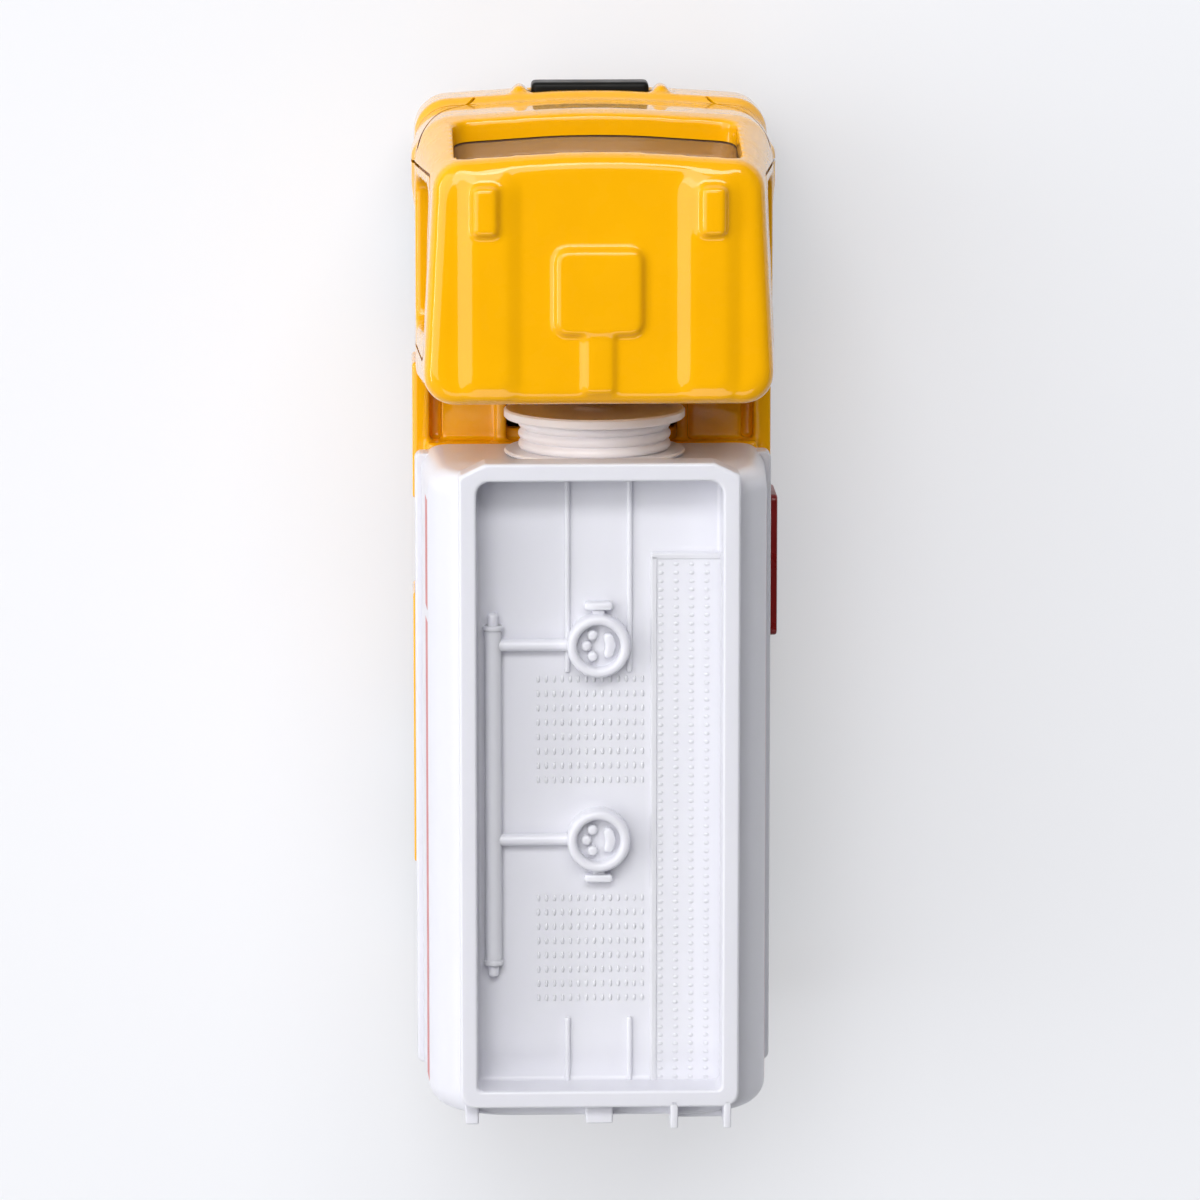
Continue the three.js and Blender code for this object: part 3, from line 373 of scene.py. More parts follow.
    def pass_through(self, *steps: tuple[str, dict[str, object]]) -> Form:
        """Puts the form through modifiers and takes their result.

        Args:
            steps: Kind and settings of each modifier.

        Returns:
            The same form.
        """
        piece = self.loose("blank")
        for kind, settings in steps:
            modifier = piece.modifiers.new(kind, kind)
            for name, value in settings.items():
                setattr(modifier, name, value)
        graph = bpy.context.evaluated_depsgraph_get()
        done = bpy.data.meshes.new_from_object(piece.evaluated_get(graph))
        self.mesh.clear()
        self.mesh.from_mesh(done)
        bpy.data.meshes.remove(done)
        drop(piece)
        return self

    def loose(self, name: str) -> bpy.types.Object:
        """An object of this form's mesh, still in millimetres."""
        sheet = bpy.data.meshes.new(name)
        self.mesh.to_mesh(sheet)
        piece = bpy.data.objects.new(name, sheet)
        bpy.context.scene.collection.objects.link(piece)
        return piece

    def deliver(
        self, name: str, finish: Finish, body: str, *nodes: str, crease: float = 40.0
    ) -> bpy.types.Object:
        """Makes the finished piece, in metres, riding on its body.

        Args:
            name: Name of the piece.
            finish: What it is finished with.
            body: The body that it rides on; none for a piece that is left unattached.
            nodes: The nodes that it stands for.
            crease: Angle in degrees past which an edge stays crisp.

        Returns:
            The piece's object.
        """
        bmesh.ops.scale(self.mesh, vec=(MM, MM, MM), verts=self.mesh.verts)
        piece = self.loose(name)
        self.mesh.free()
        piece.data.shade_smooth()
        piece.data.set_sharp_from_angle(angle=math.radians(crease))
        piece.modifiers.new("even_shading", "WEIGHTED_NORMAL").keep_sharp = True
        piece.data.materials.append(finish.material())
        if body:
            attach(piece, body)
        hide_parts(*nodes)
        log.info("%s: %d faces", name, len(piece.data.polygons))
        return piece


def drop(piece: bpy.types.Object) -> None:
    """Clears away a scratch object and its mesh."""
    sheet = piece.data
    bpy.data.objects.remove(piece)
    bpy.data.meshes.remove(sheet)


def rectangle(a: Span, b: Span, radius: float) -> list[Corner]:
    """Corners of a rounded rectangle."""
    return [(a[0], b[0], radius), (a[1], b[0], radius), (a[1], b[1], radius), (a[0], b[1], radius)]


def mirrored(span: Span) -> Span:
    """The same span on the other side of the middle."""
    return (-span[1], -span[0])


def centred(half: float) -> Span:
    """A span that reaches equally far to both sides of the middle."""
    return (-half, half)


def wheel_arches(reach: float) -> list[Form]:
    """Cutters for the front wheel arches, out to a reach on both sides."""
    axle = (FRONT_AXLE, AXLE_HEIGHT)
    arch = Form.rod(Axis.X, ARCH_RADIUS, (ARCH_INSIDE, reach), axle, flats=64)
    return [arch, arch.twin()]


def dimmed(colour: Colour, share: float) -> Colour:
    """A colour at a share of its brightness."""
    return (*(c * share for c in colour[:3]), 1)


class Recipe:
    """The node tree of one finish, read in object coordinates."""

    def __init__(self, name: str) -> None:
        """Starts from an empty shader."""
        self.material = bpy.data.materials.new(name)
        self.material.use_nodes = True
        self.tree = self.material.node_tree
        self.shader = self.tree.nodes["Principled BSDF"]
        self.place = self.node("ShaderNodeTexCoord").outputs["Object"]

    def node(self, kind: str, **settings: object) -> bpy.types.Node:
        """A new node with some of its settings."""
        made = self.tree.nodes.new(kind)
        for name, value in settings.items():
            setattr(made, name, value)
        return made

    def feed(self, socket: bpy.types.NodeSocket, value: object) -> None:
        """Links a socket to a socket, or writes a value into it."""
        if isinstance(value, bpy.types.NodeSocket):
            self.tree.links.new(value, socket)
        else:
            socket.default_value = value

    def set(self, **values: object) -> None:
        """Writes the shader's own sockets, named with underscores for spaces."""
        for name, value in values.items():
            self.feed(self.shader.inputs[name.replace("_", " ")], value)

    def noise(
        self, grain: float, detail: float = 2.0, stretch: Corner = (1, 1, 1)
    ) -> bpy.types.NodeSocket:
        """Noise with lumps about a grain in millimetres across, stretched along each axis."""
        mapping = self.node("ShaderNodeMapping")
        mapping.inputs["Scale"].default_value = [1 / (grain * MM * s) for s in stretch]
        self.feed(mapping.inputs["Vector"], self.place)
        made = self.node("ShaderNodeTexNoise")
        self.feed(made.inputs["Vector"], mapping.outputs[0])
        self.feed(made.inputs["Scale"], 1.0)
        self.feed(made.inputs["Detail"], detail)
        return made.outputs["Fac"]

    def map(self, value: bpy.types.NodeSocket, low: Span, high: Span) -> bpy.types.NodeSocket:
        """Takes the span low of a value to the span high, and holds it at the ends."""
        made = self.node("ShaderNodeMapRange")
        for socket, number in zip(made.inputs[1:5], (*low, *high)):
            socket.default_value = number
        self.feed(made.inputs["Value"], value)
        return made.outputs["Result"]

    def math(self, how: str, a: object, b: object) -> bpy.types.NodeSocket:
        """A calculation with two values."""
        made = self.node("ShaderNodeMath", operation=how)
        self.feed(made.inputs[0], a)
        self.feed(made.inputs[1], b)
        return made.outputs[0]

    def mix(self, share: object, low: object, high: object) -> bpy.types.NodeSocket:
        """A colour between two."""
        made = self.node("ShaderNodeMix", data_type="RGBA")
        sockets = (made.inputs[0], made.inputs[6], made.inputs[7])
        for socket, value in zip(sockets, (share, low, high)):
            self.feed(socket, value)
        return made.outputs[2]

    def hollows(self, depth: float) -> bpy.types.NodeSocket:
        """How open a point is within a depth in millimetres: low in inside corners."""
        made = self.node("ShaderNodeAmbientOcclusion", samples=8)
        made.inputs["Distance"].default_value = depth * MM
        return made.outputs["AO"]

    def band(self, axis: int, span: Span, soft: float = 0.06) -> bpy.types.NodeSocket:
        """One between two places along an axis, in millimetres, and zero elsewhere."""
        split = self.node("ShaderNodeSeparateXYZ")
        self.feed(split.inputs[0], self.place)
        along = split.outputs[axis]
        rise = self.map(along, ((span[0] - soft) * MM, (span[0] + soft) * MM), (0, 1))
        fall = self.map(along, ((span[1] - soft) * MM, (span[1] + soft) * MM), (1, 0))
        return self.math("MULTIPLY", rise, fall)

    def bump(
        self, height: bpy.types.NodeSocket, depth: float, under: object = None
    ) -> bpy.types.NodeSocket:
        """Relief from a height, as deep as a depth in millimetres, laid over another relief."""
        made = self.node("ShaderNodeBump")
        made.inputs["Distance"].default_value = depth * MM
        self.feed(made.inputs["Height"], height)
        if under is not None:
            self.feed(made.inputs["Normal"], under)
        return made.outputs[0]


@dataclass(frozen=True)
class Finish:
    """A finish with its name and the record's slot for it."""

    name: str
    slot: str
    colour: Colour

    def material(self) -> bpy.types.Material:
        """The finish's material, made once."""
        found = bpy.data.materials.get(self.name)
        return found or self.mix(Recipe(self.name))

    def mix(self, recipe: Recipe) -> bpy.types.Material:
        """Mixes the material."""
        raise NotImplementedError


@dataclass(frozen=True)
class GlossPaint(Finish):
    """Thick gloss paint on a casting: orange peel, and painted shade that darkens the inside
    corners.
    """

    deep: Colour = (0.62, 0.22, 0.001, 1)
    # Colour of the painted shade in inside corners, and how far in millimetres it reaches.
    corner_shade: Colour = (0.20, 0.055, 0.001, 1)
    shade_depth: float = 0.5
    # Grain and depth of each relief.
    peel: Span = (0.9, 0.001)
    ripple: Span = (4.5, 0.015)
    sheen: Span = (0.20, 0.34)

    def mix(self, recipe: Recipe) -> bpy.types.Material:
        """Mixes the material.

        Args:
            recipe: The empty node tree.

        Returns:
            The material.
        """
        drift = recipe.map(recipe.noise(5.0, 3.0), (0.3, 0.7), (0.0, 0.1))
        coat = recipe.mix(drift, self.colour, self.deep)
        # Painted shade: an ambient-occlusion reading darkens the paint in inside corners and
        # creases.
        corner = recipe.map(recipe.hollows(self.shade_depth), (0.2, 0.6), (0.85, 0.0))
        relief = None
        for grain, depth in (self.peel, self.ripple):
            relief = recipe.bump(recipe.noise(grain, 1.0), depth, relief)
        rough = recipe.map(recipe.noise(1.6, 4.0), (0.3, 0.75), self.sheen)
        colour = recipe.mix(corner, coat, self.corner_shade)
        recipe.set(Base_Color=colour, Roughness=rough, Normal=relief, Coat_Normal=relief)
        recipe.set(Coat_Weight=0.9, Coat_Roughness=0.03, Coat_IOR=1.5, Specular_IOR_Level=0.06)
        return recipe.material


@dataclass(frozen=True)
class Moulded(Finish):
    """Moulded plastic: faint flow marks, fine grain and a slightly uneven sheen."""

    sheen: Span = (0.26, 0.42)
    grain: float = 0.35
    relief: float = 0.002
    glow: float = 0.0
    shade: float = 0.9
    shine: float = 0.5

    def mix(self, recipe: Recipe) -> bpy.types.Material:
        """Mixes the material.

        Args:
            recipe: The empty node tree.

        Returns:
            The material.
        """
        self.base(recipe, self.plain(recipe))
        return recipe.material

    def plain(self, recipe: Recipe) -> bpy.types.NodeSocket:
        """The colour, dimmed where the flow marks are."""
        return recipe.mix(self.flow(recipe), self.colour, dimmed(self.colour, self.shade))

    def flow(self, recipe: Recipe) -> bpy.types.NodeSocket:
        """Flow marks, drawn out along the mould."""
        return recipe.map(recipe.noise(3.0, 4.0, (1, 2.4, 1)), (0.35, 0.7), (0.0, 1.0))

    def base(self, recipe: Recipe, colour: bpy.types.NodeSocket) -> None:
        """Sets the sheen, the relief and the colour.

        Args:
            recipe: The node tree.
            colour: Colour all over the piece.
        """
        grain = recipe.bump(recipe.noise(self.grain, 3.0), self.relief)
        swell = recipe.bump(recipe.noise(6.0, 1.0), 0.01, grain)
        rough = recipe.map(recipe.noise(2.2, 5.0), (0.3, 0.7), self.sheen)
        recipe.set(Base_Color=colour, Roughness=rough, Normal=swell)
        recipe.set(IOR=PLASTIC_IOR, Specular_IOR_Level=self.shine)
        if self.glow:
            recipe.set(Subsurface_Weight=self.glow, Subsurface_Scale=0.7 * MM)
            recipe.set(Subsurface_Radius=(1.0, 0.95, 1.1))


@dataclass(frozen=True)
class TankPlastic(Moulded):
    """The tank's white plastic, with the plain stripe printed along both sides."""

    stripe: Colour = (0.58, 0.03, 0.03, 1)
    stripe_height: Span = (20.9, 23.8)
    main_run: Span = (-35.4, -0.7)
    short_run: Span = (0.2, 8.4)

    def mix(self, recipe: Recipe) -> bpy.types.Material:
        """Mixes the material.

        Args:
            recipe: The empty node tree.

        Returns:
            The material.
        """
        plain = self.plain(recipe)
        runs = recipe.math("ADD", recipe.band(1, self.main_run), recipe.band(1, self.short_run))
        height = recipe.math("MULTIPLY", runs, recipe.band(2, self.stripe_height))
        worn = recipe.map(recipe.noise(0.25, 4.0), (0.28, 0.36), (0.45, 1.0))
        self.base(recipe, recipe.mix(recipe.math("MULTIPLY", height, worn), plain, self.stripe))
        return recipe.material


@dataclass(frozen=True)
class ClearPlastic(Finish):
    """Smoky clear plastic with a faint ripple."""

    clarity: float = 0.72
    smoke: float = 0.8

    def mix(self, recipe: Recipe) -> bpy.types.Material:
        """Mixes the material.

        Args:
            recipe: The empty node tree.

        Returns:
            The material.
        """
        ripple = recipe.bump(recipe.noise(2.5, 2.0), 0.02)
        smoke = recipe.map(recipe.noise(4.0, 2.0), (0.3, 0.7), (0.0, 0.5))
        tint = recipe.mix(smoke, self.colour, dimmed(self.colour, self.smoke))
        rough = recipe.map(recipe.noise(0.8, 4.0), (0.4, 0.8), (0.02, 0.09))
        recipe.set(Base_Color=tint, Roughness=rough, Normal=ripple)
        recipe.set(Transmission_Weight=self.clarity, IOR=PLASTIC_IOR)
        return recipe.material


@dataclass(frozen=True)
class Steel(Finish):
    """Drawn steel with fine lengthwise scratches."""

    along: Corner = (30, 1, 1)
    dark: Colour = (0.36, 0.36, 0.37, 1)

    def mix(self, recipe: Recipe) -> bpy.types.Material:
        """Mixes the material.

        Args:
            recipe: The empty node tree.

        Returns:
            The material.
        """
        lines = recipe.noise(0.12, 3.0, self.along)
        streaks = recipe.map(lines, (0.3, 0.7), (0.0, 1.0))
        tone = recipe.mix(streaks, self.colour, self.dark)
        rough = recipe.map(recipe.noise(0.7, 4.0), (0.3, 0.7), (0.2, 0.42))
        recipe.set(Base_Color=tone, Roughness=rough, Normal=recipe.bump(lines, 0.004), Metallic=1.0)
        return recipe.material


PAINT = GlossPaint("yellow_gloss_paint", "yellow_paint", (0.97, 0.465, 0.0015, 1))
TANK_WHITE = TankPlastic(
    "white_tank_plastic",
    "white_plastic",
    (0.76, 0.76, 0.815, 1),
    sheen=(0.28, 0.34),
    glow=0.2,
    shade=0.985,
)
# The same white plastic as the tank, made lighter and warmer: painted light for the drum in the
# shade between cab and tank, with a painted reflection of the yellow cab.
DRUM_WHITE_PAINTED_LIGHT = Moulded(
    "white_drum_plastic",
    "white_plastic",
    (0.87, 0.84, 0.86, 1),
    sheen=(0.28, 0.36),
    glow=0.2,
    shade=0.97,
)
BLACK = Moulded(
    "black_base_plastic",
    "black_plastic",
    (0.007, 0.007, 0.0065, 1),
    sheen=(0.3, 0.42),
    shade=1.5,
    shine=0.12,
)
RED = Moulded("red_locker_plastic", "red_plastic", (0.25, 0.006, 0.006, 1), sheen=(0.24, 0.4))
GREY = Moulded(
    "grey_cabin_plastic",
    "grey_plastic",
    (0.045, 0.046, 0.05, 1),
    sheen=(0.5, 0.65),
    relief=0.012,
)
TYRE = Moulded(
    "tyre_plastic_black",
    "tyre_plastic",
    (0.013, 0.013, 0.013, 1),
    sheen=(0.5, 0.68),
    relief=0.012,
    shade=1.6,
)
HUB = Moulded(
    "silver_hub_plastic",
    "hub_plastic",
    (0.50, 0.51, 0.53, 1),
    sheen=(0.22, 0.36),
    shade=0.86,
)
# Brown-pink tint: partly the plastic's own smoke, partly a painted reflection of the yellow cab.
CLEAR_PAINTED_REFLECTION = ClearPlastic("smoky_clear_plastic", "clear_plastic", (0.66, 0.43, 0.29, 1))
STEEL = Steel("drawn_steel", "steel", (0.55, 0.55, 0.56, 1))
SPRING = Steel("spring_steel", "steel", (0.50, 0.50, 0.52, 1), along=(1, 30, 1))


@dataclass(frozen=True)
class Level:
    """Plan of the cab at one height: how far it draws in from its widest lines."""

    z: float
    setback: float
    front_tuck: float
    rear_tuck: float
    rear_setback: float
    front_corner: float
    rear_corner: float


@dataclass
class Cab:
    """Painted cab casting with its roof ribs, hatch, bumper and window openings."""

    half: float = 13.2
    rear: float = 16.1
    front: float = 37.05
    bow: float = 0.8
    bow_radius: float = 60.0
    wall: float = 1.5
    sill: float = 17.8
    roof: float = 29.4
    roof_round: float = 1.1
    roof_setback: float = 2.5
    # At the front and at the rear.
    roof_tucks: Span = (1.3, 0.4)
    roof_corner: float = 2.2
    rear_corner: float = 1.2
    windscreen: tuple[Span, Span] = ((-10.4, 10.4), (17.8, 27.8))
    side_window: tuple[Span, Span] = ((20.6, 31.6), (17.8, 25.6))
    window_corner: float = 1.2
    rib: tuple[Span, Span] = ((6.1, 9.7), (17.0, 32.6))
    rib_slope: float = 0.55
    rib_height: float = 0.32
    lamp: tuple[Span, Span] = ((7.3, 9.15), (28.5, 32.1))
    lamp_height: float = 0.85
    hatch: tuple[Span, Span] = ((-3.15, 3.15), (21.3, 27.5))
    hatch_height: float = 0.45
    spine_half: float = 1.1
    spine_height: float = 0.3
    peg_x: float = 5.3
    peg_radius: float = 0.55
    peg_height: Span = (6.4, 9.0)
    vane: tuple[Span, Span, Span] = ((12.4, 13.45), (28.6, 33.8), (11.6, 16.6))
    bar_slot: tuple[Span, Span] = ((-4.55, 4.55), (5.45, 8.35))
    # Half width and top.
    tunnel: tuple[float, float] = (8.55, 9.4)
    door: tuple[Span, Span] = ((18.9, 32.6), (9.2, 27.1))
    door_foot: float = 12.2
    corner_seam: tuple[Span, ...] = (
        (8.7, 9.4),
        (10.1, 10.9),
        (11.3, 12.6),
        (12.3, 14.7),
        (13.1, 17.4),
    )
    # Inner end and height.
    bumper_seam: tuple[float, float] = (8.6, 10.15)
    seam: float = 0.22
    seam_depth: float = 0.3

    @property
    def eaves(self) -> float:
        """Height at which the walls start to round over into the roof."""
        return self.roof - self.roof_round

    def levels(self) -> list[Level]:
        """The heights at which the cab's outline changes."""
        walls = [
            (4.2, 0.5, 0.5, 2.6),
            (4.7, 0.0, 0.0, 2.6),
            (9.5, 0.0, 0.0, 2.6),
            (10.0, 0.5, 0.0, 2.8),
            (16.4, 0.6, 0.0, 3.0),
            (self.sill, 0.85, 0.0, 3.2),
        ]
        made = [
            Level(z, setback, tuck, tuck, 0.0, corner, self.rear_corner)
            for z, setback, tuck, corner in walls
        ]
        front, rear = self.roof_tucks
        corner = self.roof_corner
        for turn in (math.radians(a) for a in range(0, 91, 15)):
            drawn = self.roof_round * (1 - math.cos(turn))
            z = self.roof - self.roof_round * (1 - math.sin(turn))
            setback = self.roof_setback + drawn
            made.append(Level(z, setback, front + drawn, rear + drawn, drawn, corner, corner))
        return made

    def outline(self, level: Level, inset: float = 0.0) -> list[Corner]:
        """Plan outline at one level, drawn in by an inset all round."""
        front, rear = self.front - level.setback - inset, self.rear + level.rear_setback + inset
        ahead, behind = self.half - level.front_tuck - inset, self.half - level.rear_tuck - inset
        front_radius = max(level.front_corner - inset, self.wall / 2)
        rear_radius = max(level.rear_corner - inset, self.wall / 4)
        return [
            (-behind, rear, rear_radius),
            (behind, rear, rear_radius),
            (ahead, front - self.bow, front_radius),
            (0, front, self.bow_radius),
            (-ahead, front - self.bow, front_radius),
        ]

    def at(self, z: float) -> Level:
        """The walls at any height, between the levels that shape them."""
        walls = [level for level in self.levels() if level.z <= self.eaves + 1e-6]
        above = next((level for level in walls if level.z >= z), walls[-1])
        below = next((level for level in reversed(walls) if level.z <= z), walls[0])
        share = (z - below.z) / (above.z - below.z) if above.z > below.z else 0.0
        blend = {n: a + (getattr(above, n) - a) * share for n, a in vars(below).items()}
        return replace(below, **{**blend, "z": z})

    def space(self, inset: float, bottom: float) -> Form:
        """The room inside the cab, an inset in from its skin, down to a height."""
        top = self.roof - inset
        between = [level.z for level in self.levels() if bottom < level.z < min(top, self.eaves)]
        heights = [z for z in sorted({bottom, *between, self.eaves, top}) if z <= top]
        return Form.loft(Axis.Z, [(z, self.outline(self.at(z), inset)) for z in heights])

    def build(self) -> None:
        """Builds the casting's cab."""
        cab = Form.loft(Axis.Z, [(level.z, self.outline(level)) for level in self.levels()])
        cab.carve(Carving.JOIN, *self.roof_details(), *self.front_details())
        cab.carve(Carving.AWAY, *self.openings())
        cab.soften(grain=0.19, passes=12)
        cab.carve(Carving.AWAY, self.space(self.wall, 2.0), *self.seams())
        cab.deliver("cab_casting", PAINT, "truck", "cab_and_frame", crease=55)

    def roof_details(self) -> list[Form]:
        """Ribs with their lamp blocks, the hatch and the spine behind it."""
        root = self.roof - 0.6
        (left, right), (rear, front) = self.rib
        slope = self.rib_slope
        foot = rectangle((left - slope, right + slope), (rear - slope, front + slope), radius=1.4)
        crest = rectangle((left + slope, right - slope), (rear + slope, front - slope), radius=0.9)
        levels = [(root, foot), (self.roof, foot), (self.roof + self.rib_height, crest)]
        rib = Form.loft(Axis.Z, levels)
        lamp = Form.block(*self.lamp, (root, self.roof + self.lamp_height), edge=0.3, steps=3)
        hatch = rectangle(*self.hatch, radius=0.8)
        spine_y = (rear, self.hatch[1][0] + 1)
        spine_z = (root, self.roof + self.spine_height)
        return [
            rib,
            rib.twin(),
            lamp,
            lamp.twin(),
            Form.plate(Axis.Z, hatch, (root, self.roof + self.hatch_height), edge=0.22),
            Form.block(centred(self.spine_half), spine_y, spine_z, edge=0.26, steps=3),
        ]

    def front_details(self) -> list[Form]:
        """The bumper's two pegs and the vanes at the doors' front corners."""
        centre = (self.peg_x, self.front - 0.3)
        peg = Form.rod(Axis.Z, self.peg_radius, self.peg_height, centre, edge=0.2)
        (near, far), (rear, front), height = self.vane
        plan = [
            (near, rear, 0.0),
            (self.half, rear, 0.6),
            (far, rear + 2.2, 0.8),
            (far, front - 0.6, 0.4),
            (self.half - 0.1, front, 0.4),
            (near, front, 0.0),
        ]
        vane = Form.plate(Axis.Z, plan, height, edge=0.25)
        return [peg, peg.twin(), vane, vane.twin()]

    def openings(self) -> list[Form]:
        """Windows, wheel arches, the slot for the base's bar and the tunnel at the rear."""
        reach = self.half + 2
        middle = (self.rear + self.front) / 2
        windscreen = rectangle(*self.windscreen, self.window_corner)
        side = rectangle(*self.side_window, self.window_corner)
        slot_x, slot_z = self.bar_slot
        tunnel_half, tunnel_top = self.tunnel
        return [
            Form.plate(Axis.Y, windscreen, (middle, self.front + 2)),
            Form.plate(Axis.X, side, centred(reach)),
            *wheel_arches(reach),
            Form.block(slot_x, (self.front - 4, self.front + 2), slot_z),
            Form.block(centred(tunnel_half), (self.rear - 1, self.rear + 3), (0, tunnel_top)),
        ]

    def seams(self) -> list[Form]:
        """Engraved lines round the doors and across the front corners."""
        reach = self.half + 2
        core = self.space(self.seam_depth, 3.0)
        line = self.seam
        (rear, front), (low, high) = self.door
        door = Form.plate(Axis.X, rectangle(*self.door, radius=1.6), centred(reach))
        inner = rectangle((rear + line, front - line), (low + line, high - line), radius=1.4)
        door.carve(Carving.AWAY, Form.plate(Axis.X, inner, centred(reach + 1)))
        below = Form.block(centred(reach), (0, 60), (0, self.door_foot))
        door.carve(Carving.AWAY, below, core)
        band = [(x, z, 0.0) for x, z in self.corner_seam]
        band += [(x - 0.17, z + 0.14, 0.0) for x, z in reversed(self.corner_seam)]
        corner = Form.plate(Axis.Y, band, (30, 40))
        near, height = self.bumper_seam
        lower = Form.block((near, reach), (30.5, 40), (height, height + line))
        lines = [corner, corner.twin(), lower, lower.twin()]
        return [door, *(item.carve(Carving.AWAY, core) for item in lines)]


@dataclass
class Frame:
    """Painted decks, side boxes, guards and beams behind and under the cab, cast in one with it."""

    side: float = 13.45
    deck_half: float = 12.4
    deck: Span = (11.5, 12.9)
    low_half: float = 12.25
    low_deck: Span = (9.4, 10.9)
    low_front: float = 19.1
    step: float = 10.9
    riser: float = 1.4
    rear: float = -35.4
    # Span across and top.
    ridge: tuple[Span, float] = ((6.4, 7.2), 11.7)
    beam: Span = (3.2, 4.4)
    beam_foot: float = 7.6
    # Depth, left run, right run and heights of the boxes, lips, guards and sills.
    side_pieces: tuple[tuple[float, Span, Span, Span], ...] = (
        (4.85, (6.5, 16.85), (8.2, 16.85), (5.4, 10.9)),
        (1.3, (6.5, 16.85), (8.2, 16.85), (9.4, 11.7)),
        (1.0, (-8.6, -0.6), (-8.6, -4.6), (6.0, 11.5)),
        (2.6, (-21.4, -0.6), (-21.4, -4.6), (10.8, 11.85)),
    )
    lip: float = 1.3
    groove: float = 0.9
    line: float = 0.3
    post: float = 1.9
    post_foot: float = 4.28
    seat_foot: float = 6.14
    edge: float = 0.18

    def build(self) -> None:
        """Builds the casting's frame."""
        whole, *rest = [*self.decks(), *self.boxes(), *self.posts()]
        whole.carve(Carving.JOIN, *rest).carve(Carving.AWAY, *self.cuts())
        whole.soften(grain=0.17, passes=3, share=0.3)
        whole.deliver("frame_casting", PAINT, "truck", "cab_and_frame", crease=55)

    def pair(self, x: Span, y: Span, z: Span) -> list[Form]:
        """A block and its twin on the other side."""
        made = Form.block(x, y, z, self.edge)
        return [made, made.twin()]

    def decks(self) -> list[Form]:
        """The deck under the tank, the low deck behind the cab, and the rails on it."""
        low, edge = self.low_deck, self.edge
        half, low_half = centred(self.deck_half), centred(self.low_half)
        behind, under = self.step - self.riser, self.step - 0.5
        ridge, ridge_top = self.ridge
        return [
            Form.block(half, (self.rear, self.step), self.deck, edge),
            Form.block(low_half, (under, self.low_front), low, edge),
            Form.block(half, (behind, self.step), (low[0], self.deck[1]), edge),
            *self.pair(ridge, (under, 16.85), (low[0], ridge_top)),
            *self.pair(self.beam, (RIVETS[1], self.step), (self.beam_foot, 12.2)),
            *self.pair(self.beam, (behind, 16.1), (self.beam_foot, 10.15)),
        ]

    def boxes(self) -> list[Form]:
        """Side boxes with their lips, guards between the wheels and sills along the deck."""
        made = []
        for depth, left, right, height in self.side_pieces:
            across = (self.side - depth, self.side)
            made.append(Form.block(mirrored(across), left, height, self.edge))
            made.append(Form.block(across, right, height, self.edge))
        return made

    def posts(self) -> list[Form]:
        """The crossbar in the nose and the posts for the base plate and the springs."""
        front, rear = RIVETS
        return [
            Form.block(centred(12.45), (29.4, 31.8), (9.25, 10.95), self.edge),
            Form.rod(Axis.Z, self.post, (self.post_foot, 10.9), (0, front)),
            Form.block(centred(2.1), (26.75, 29.8), (self.seat_foot, 10.9), self.edge),
            Form.rod(Axis.Z, self.post, (self.post_foot, 12.2), (0, rear)),
            Form.rod(Axis.Z, 1.15, (self.seat_foot, 12.2), (0, -20.8)),
        ]

    def cuts(self) -> list[Form]:
        """The well between the rails, grooves inside the lips, wheel arches and panel lines."""
        reach, line, panel = 16, self.line, (5.9, 10.5)
        lip = self.side - self.lip
        skin = self.side - line
        groove = Form.block((lip - self.groove, lip), (self.step, 16.1), (9.9, 13.0))
        lines = [Form.block((-reach, -skin), (y, y + line), panel) for y in (9.6, 12.9)]
        lines += [Form.block((skin, reach), (y, y + line), panel) for y in (11.0, 13.7)]
        well = Form.block(centred(self.ridge[0][0]), (11.7, 15.3), (9.0, 11.2))
        return [well, groove, groove.twin(), *wheel_arches(reach), *lines]


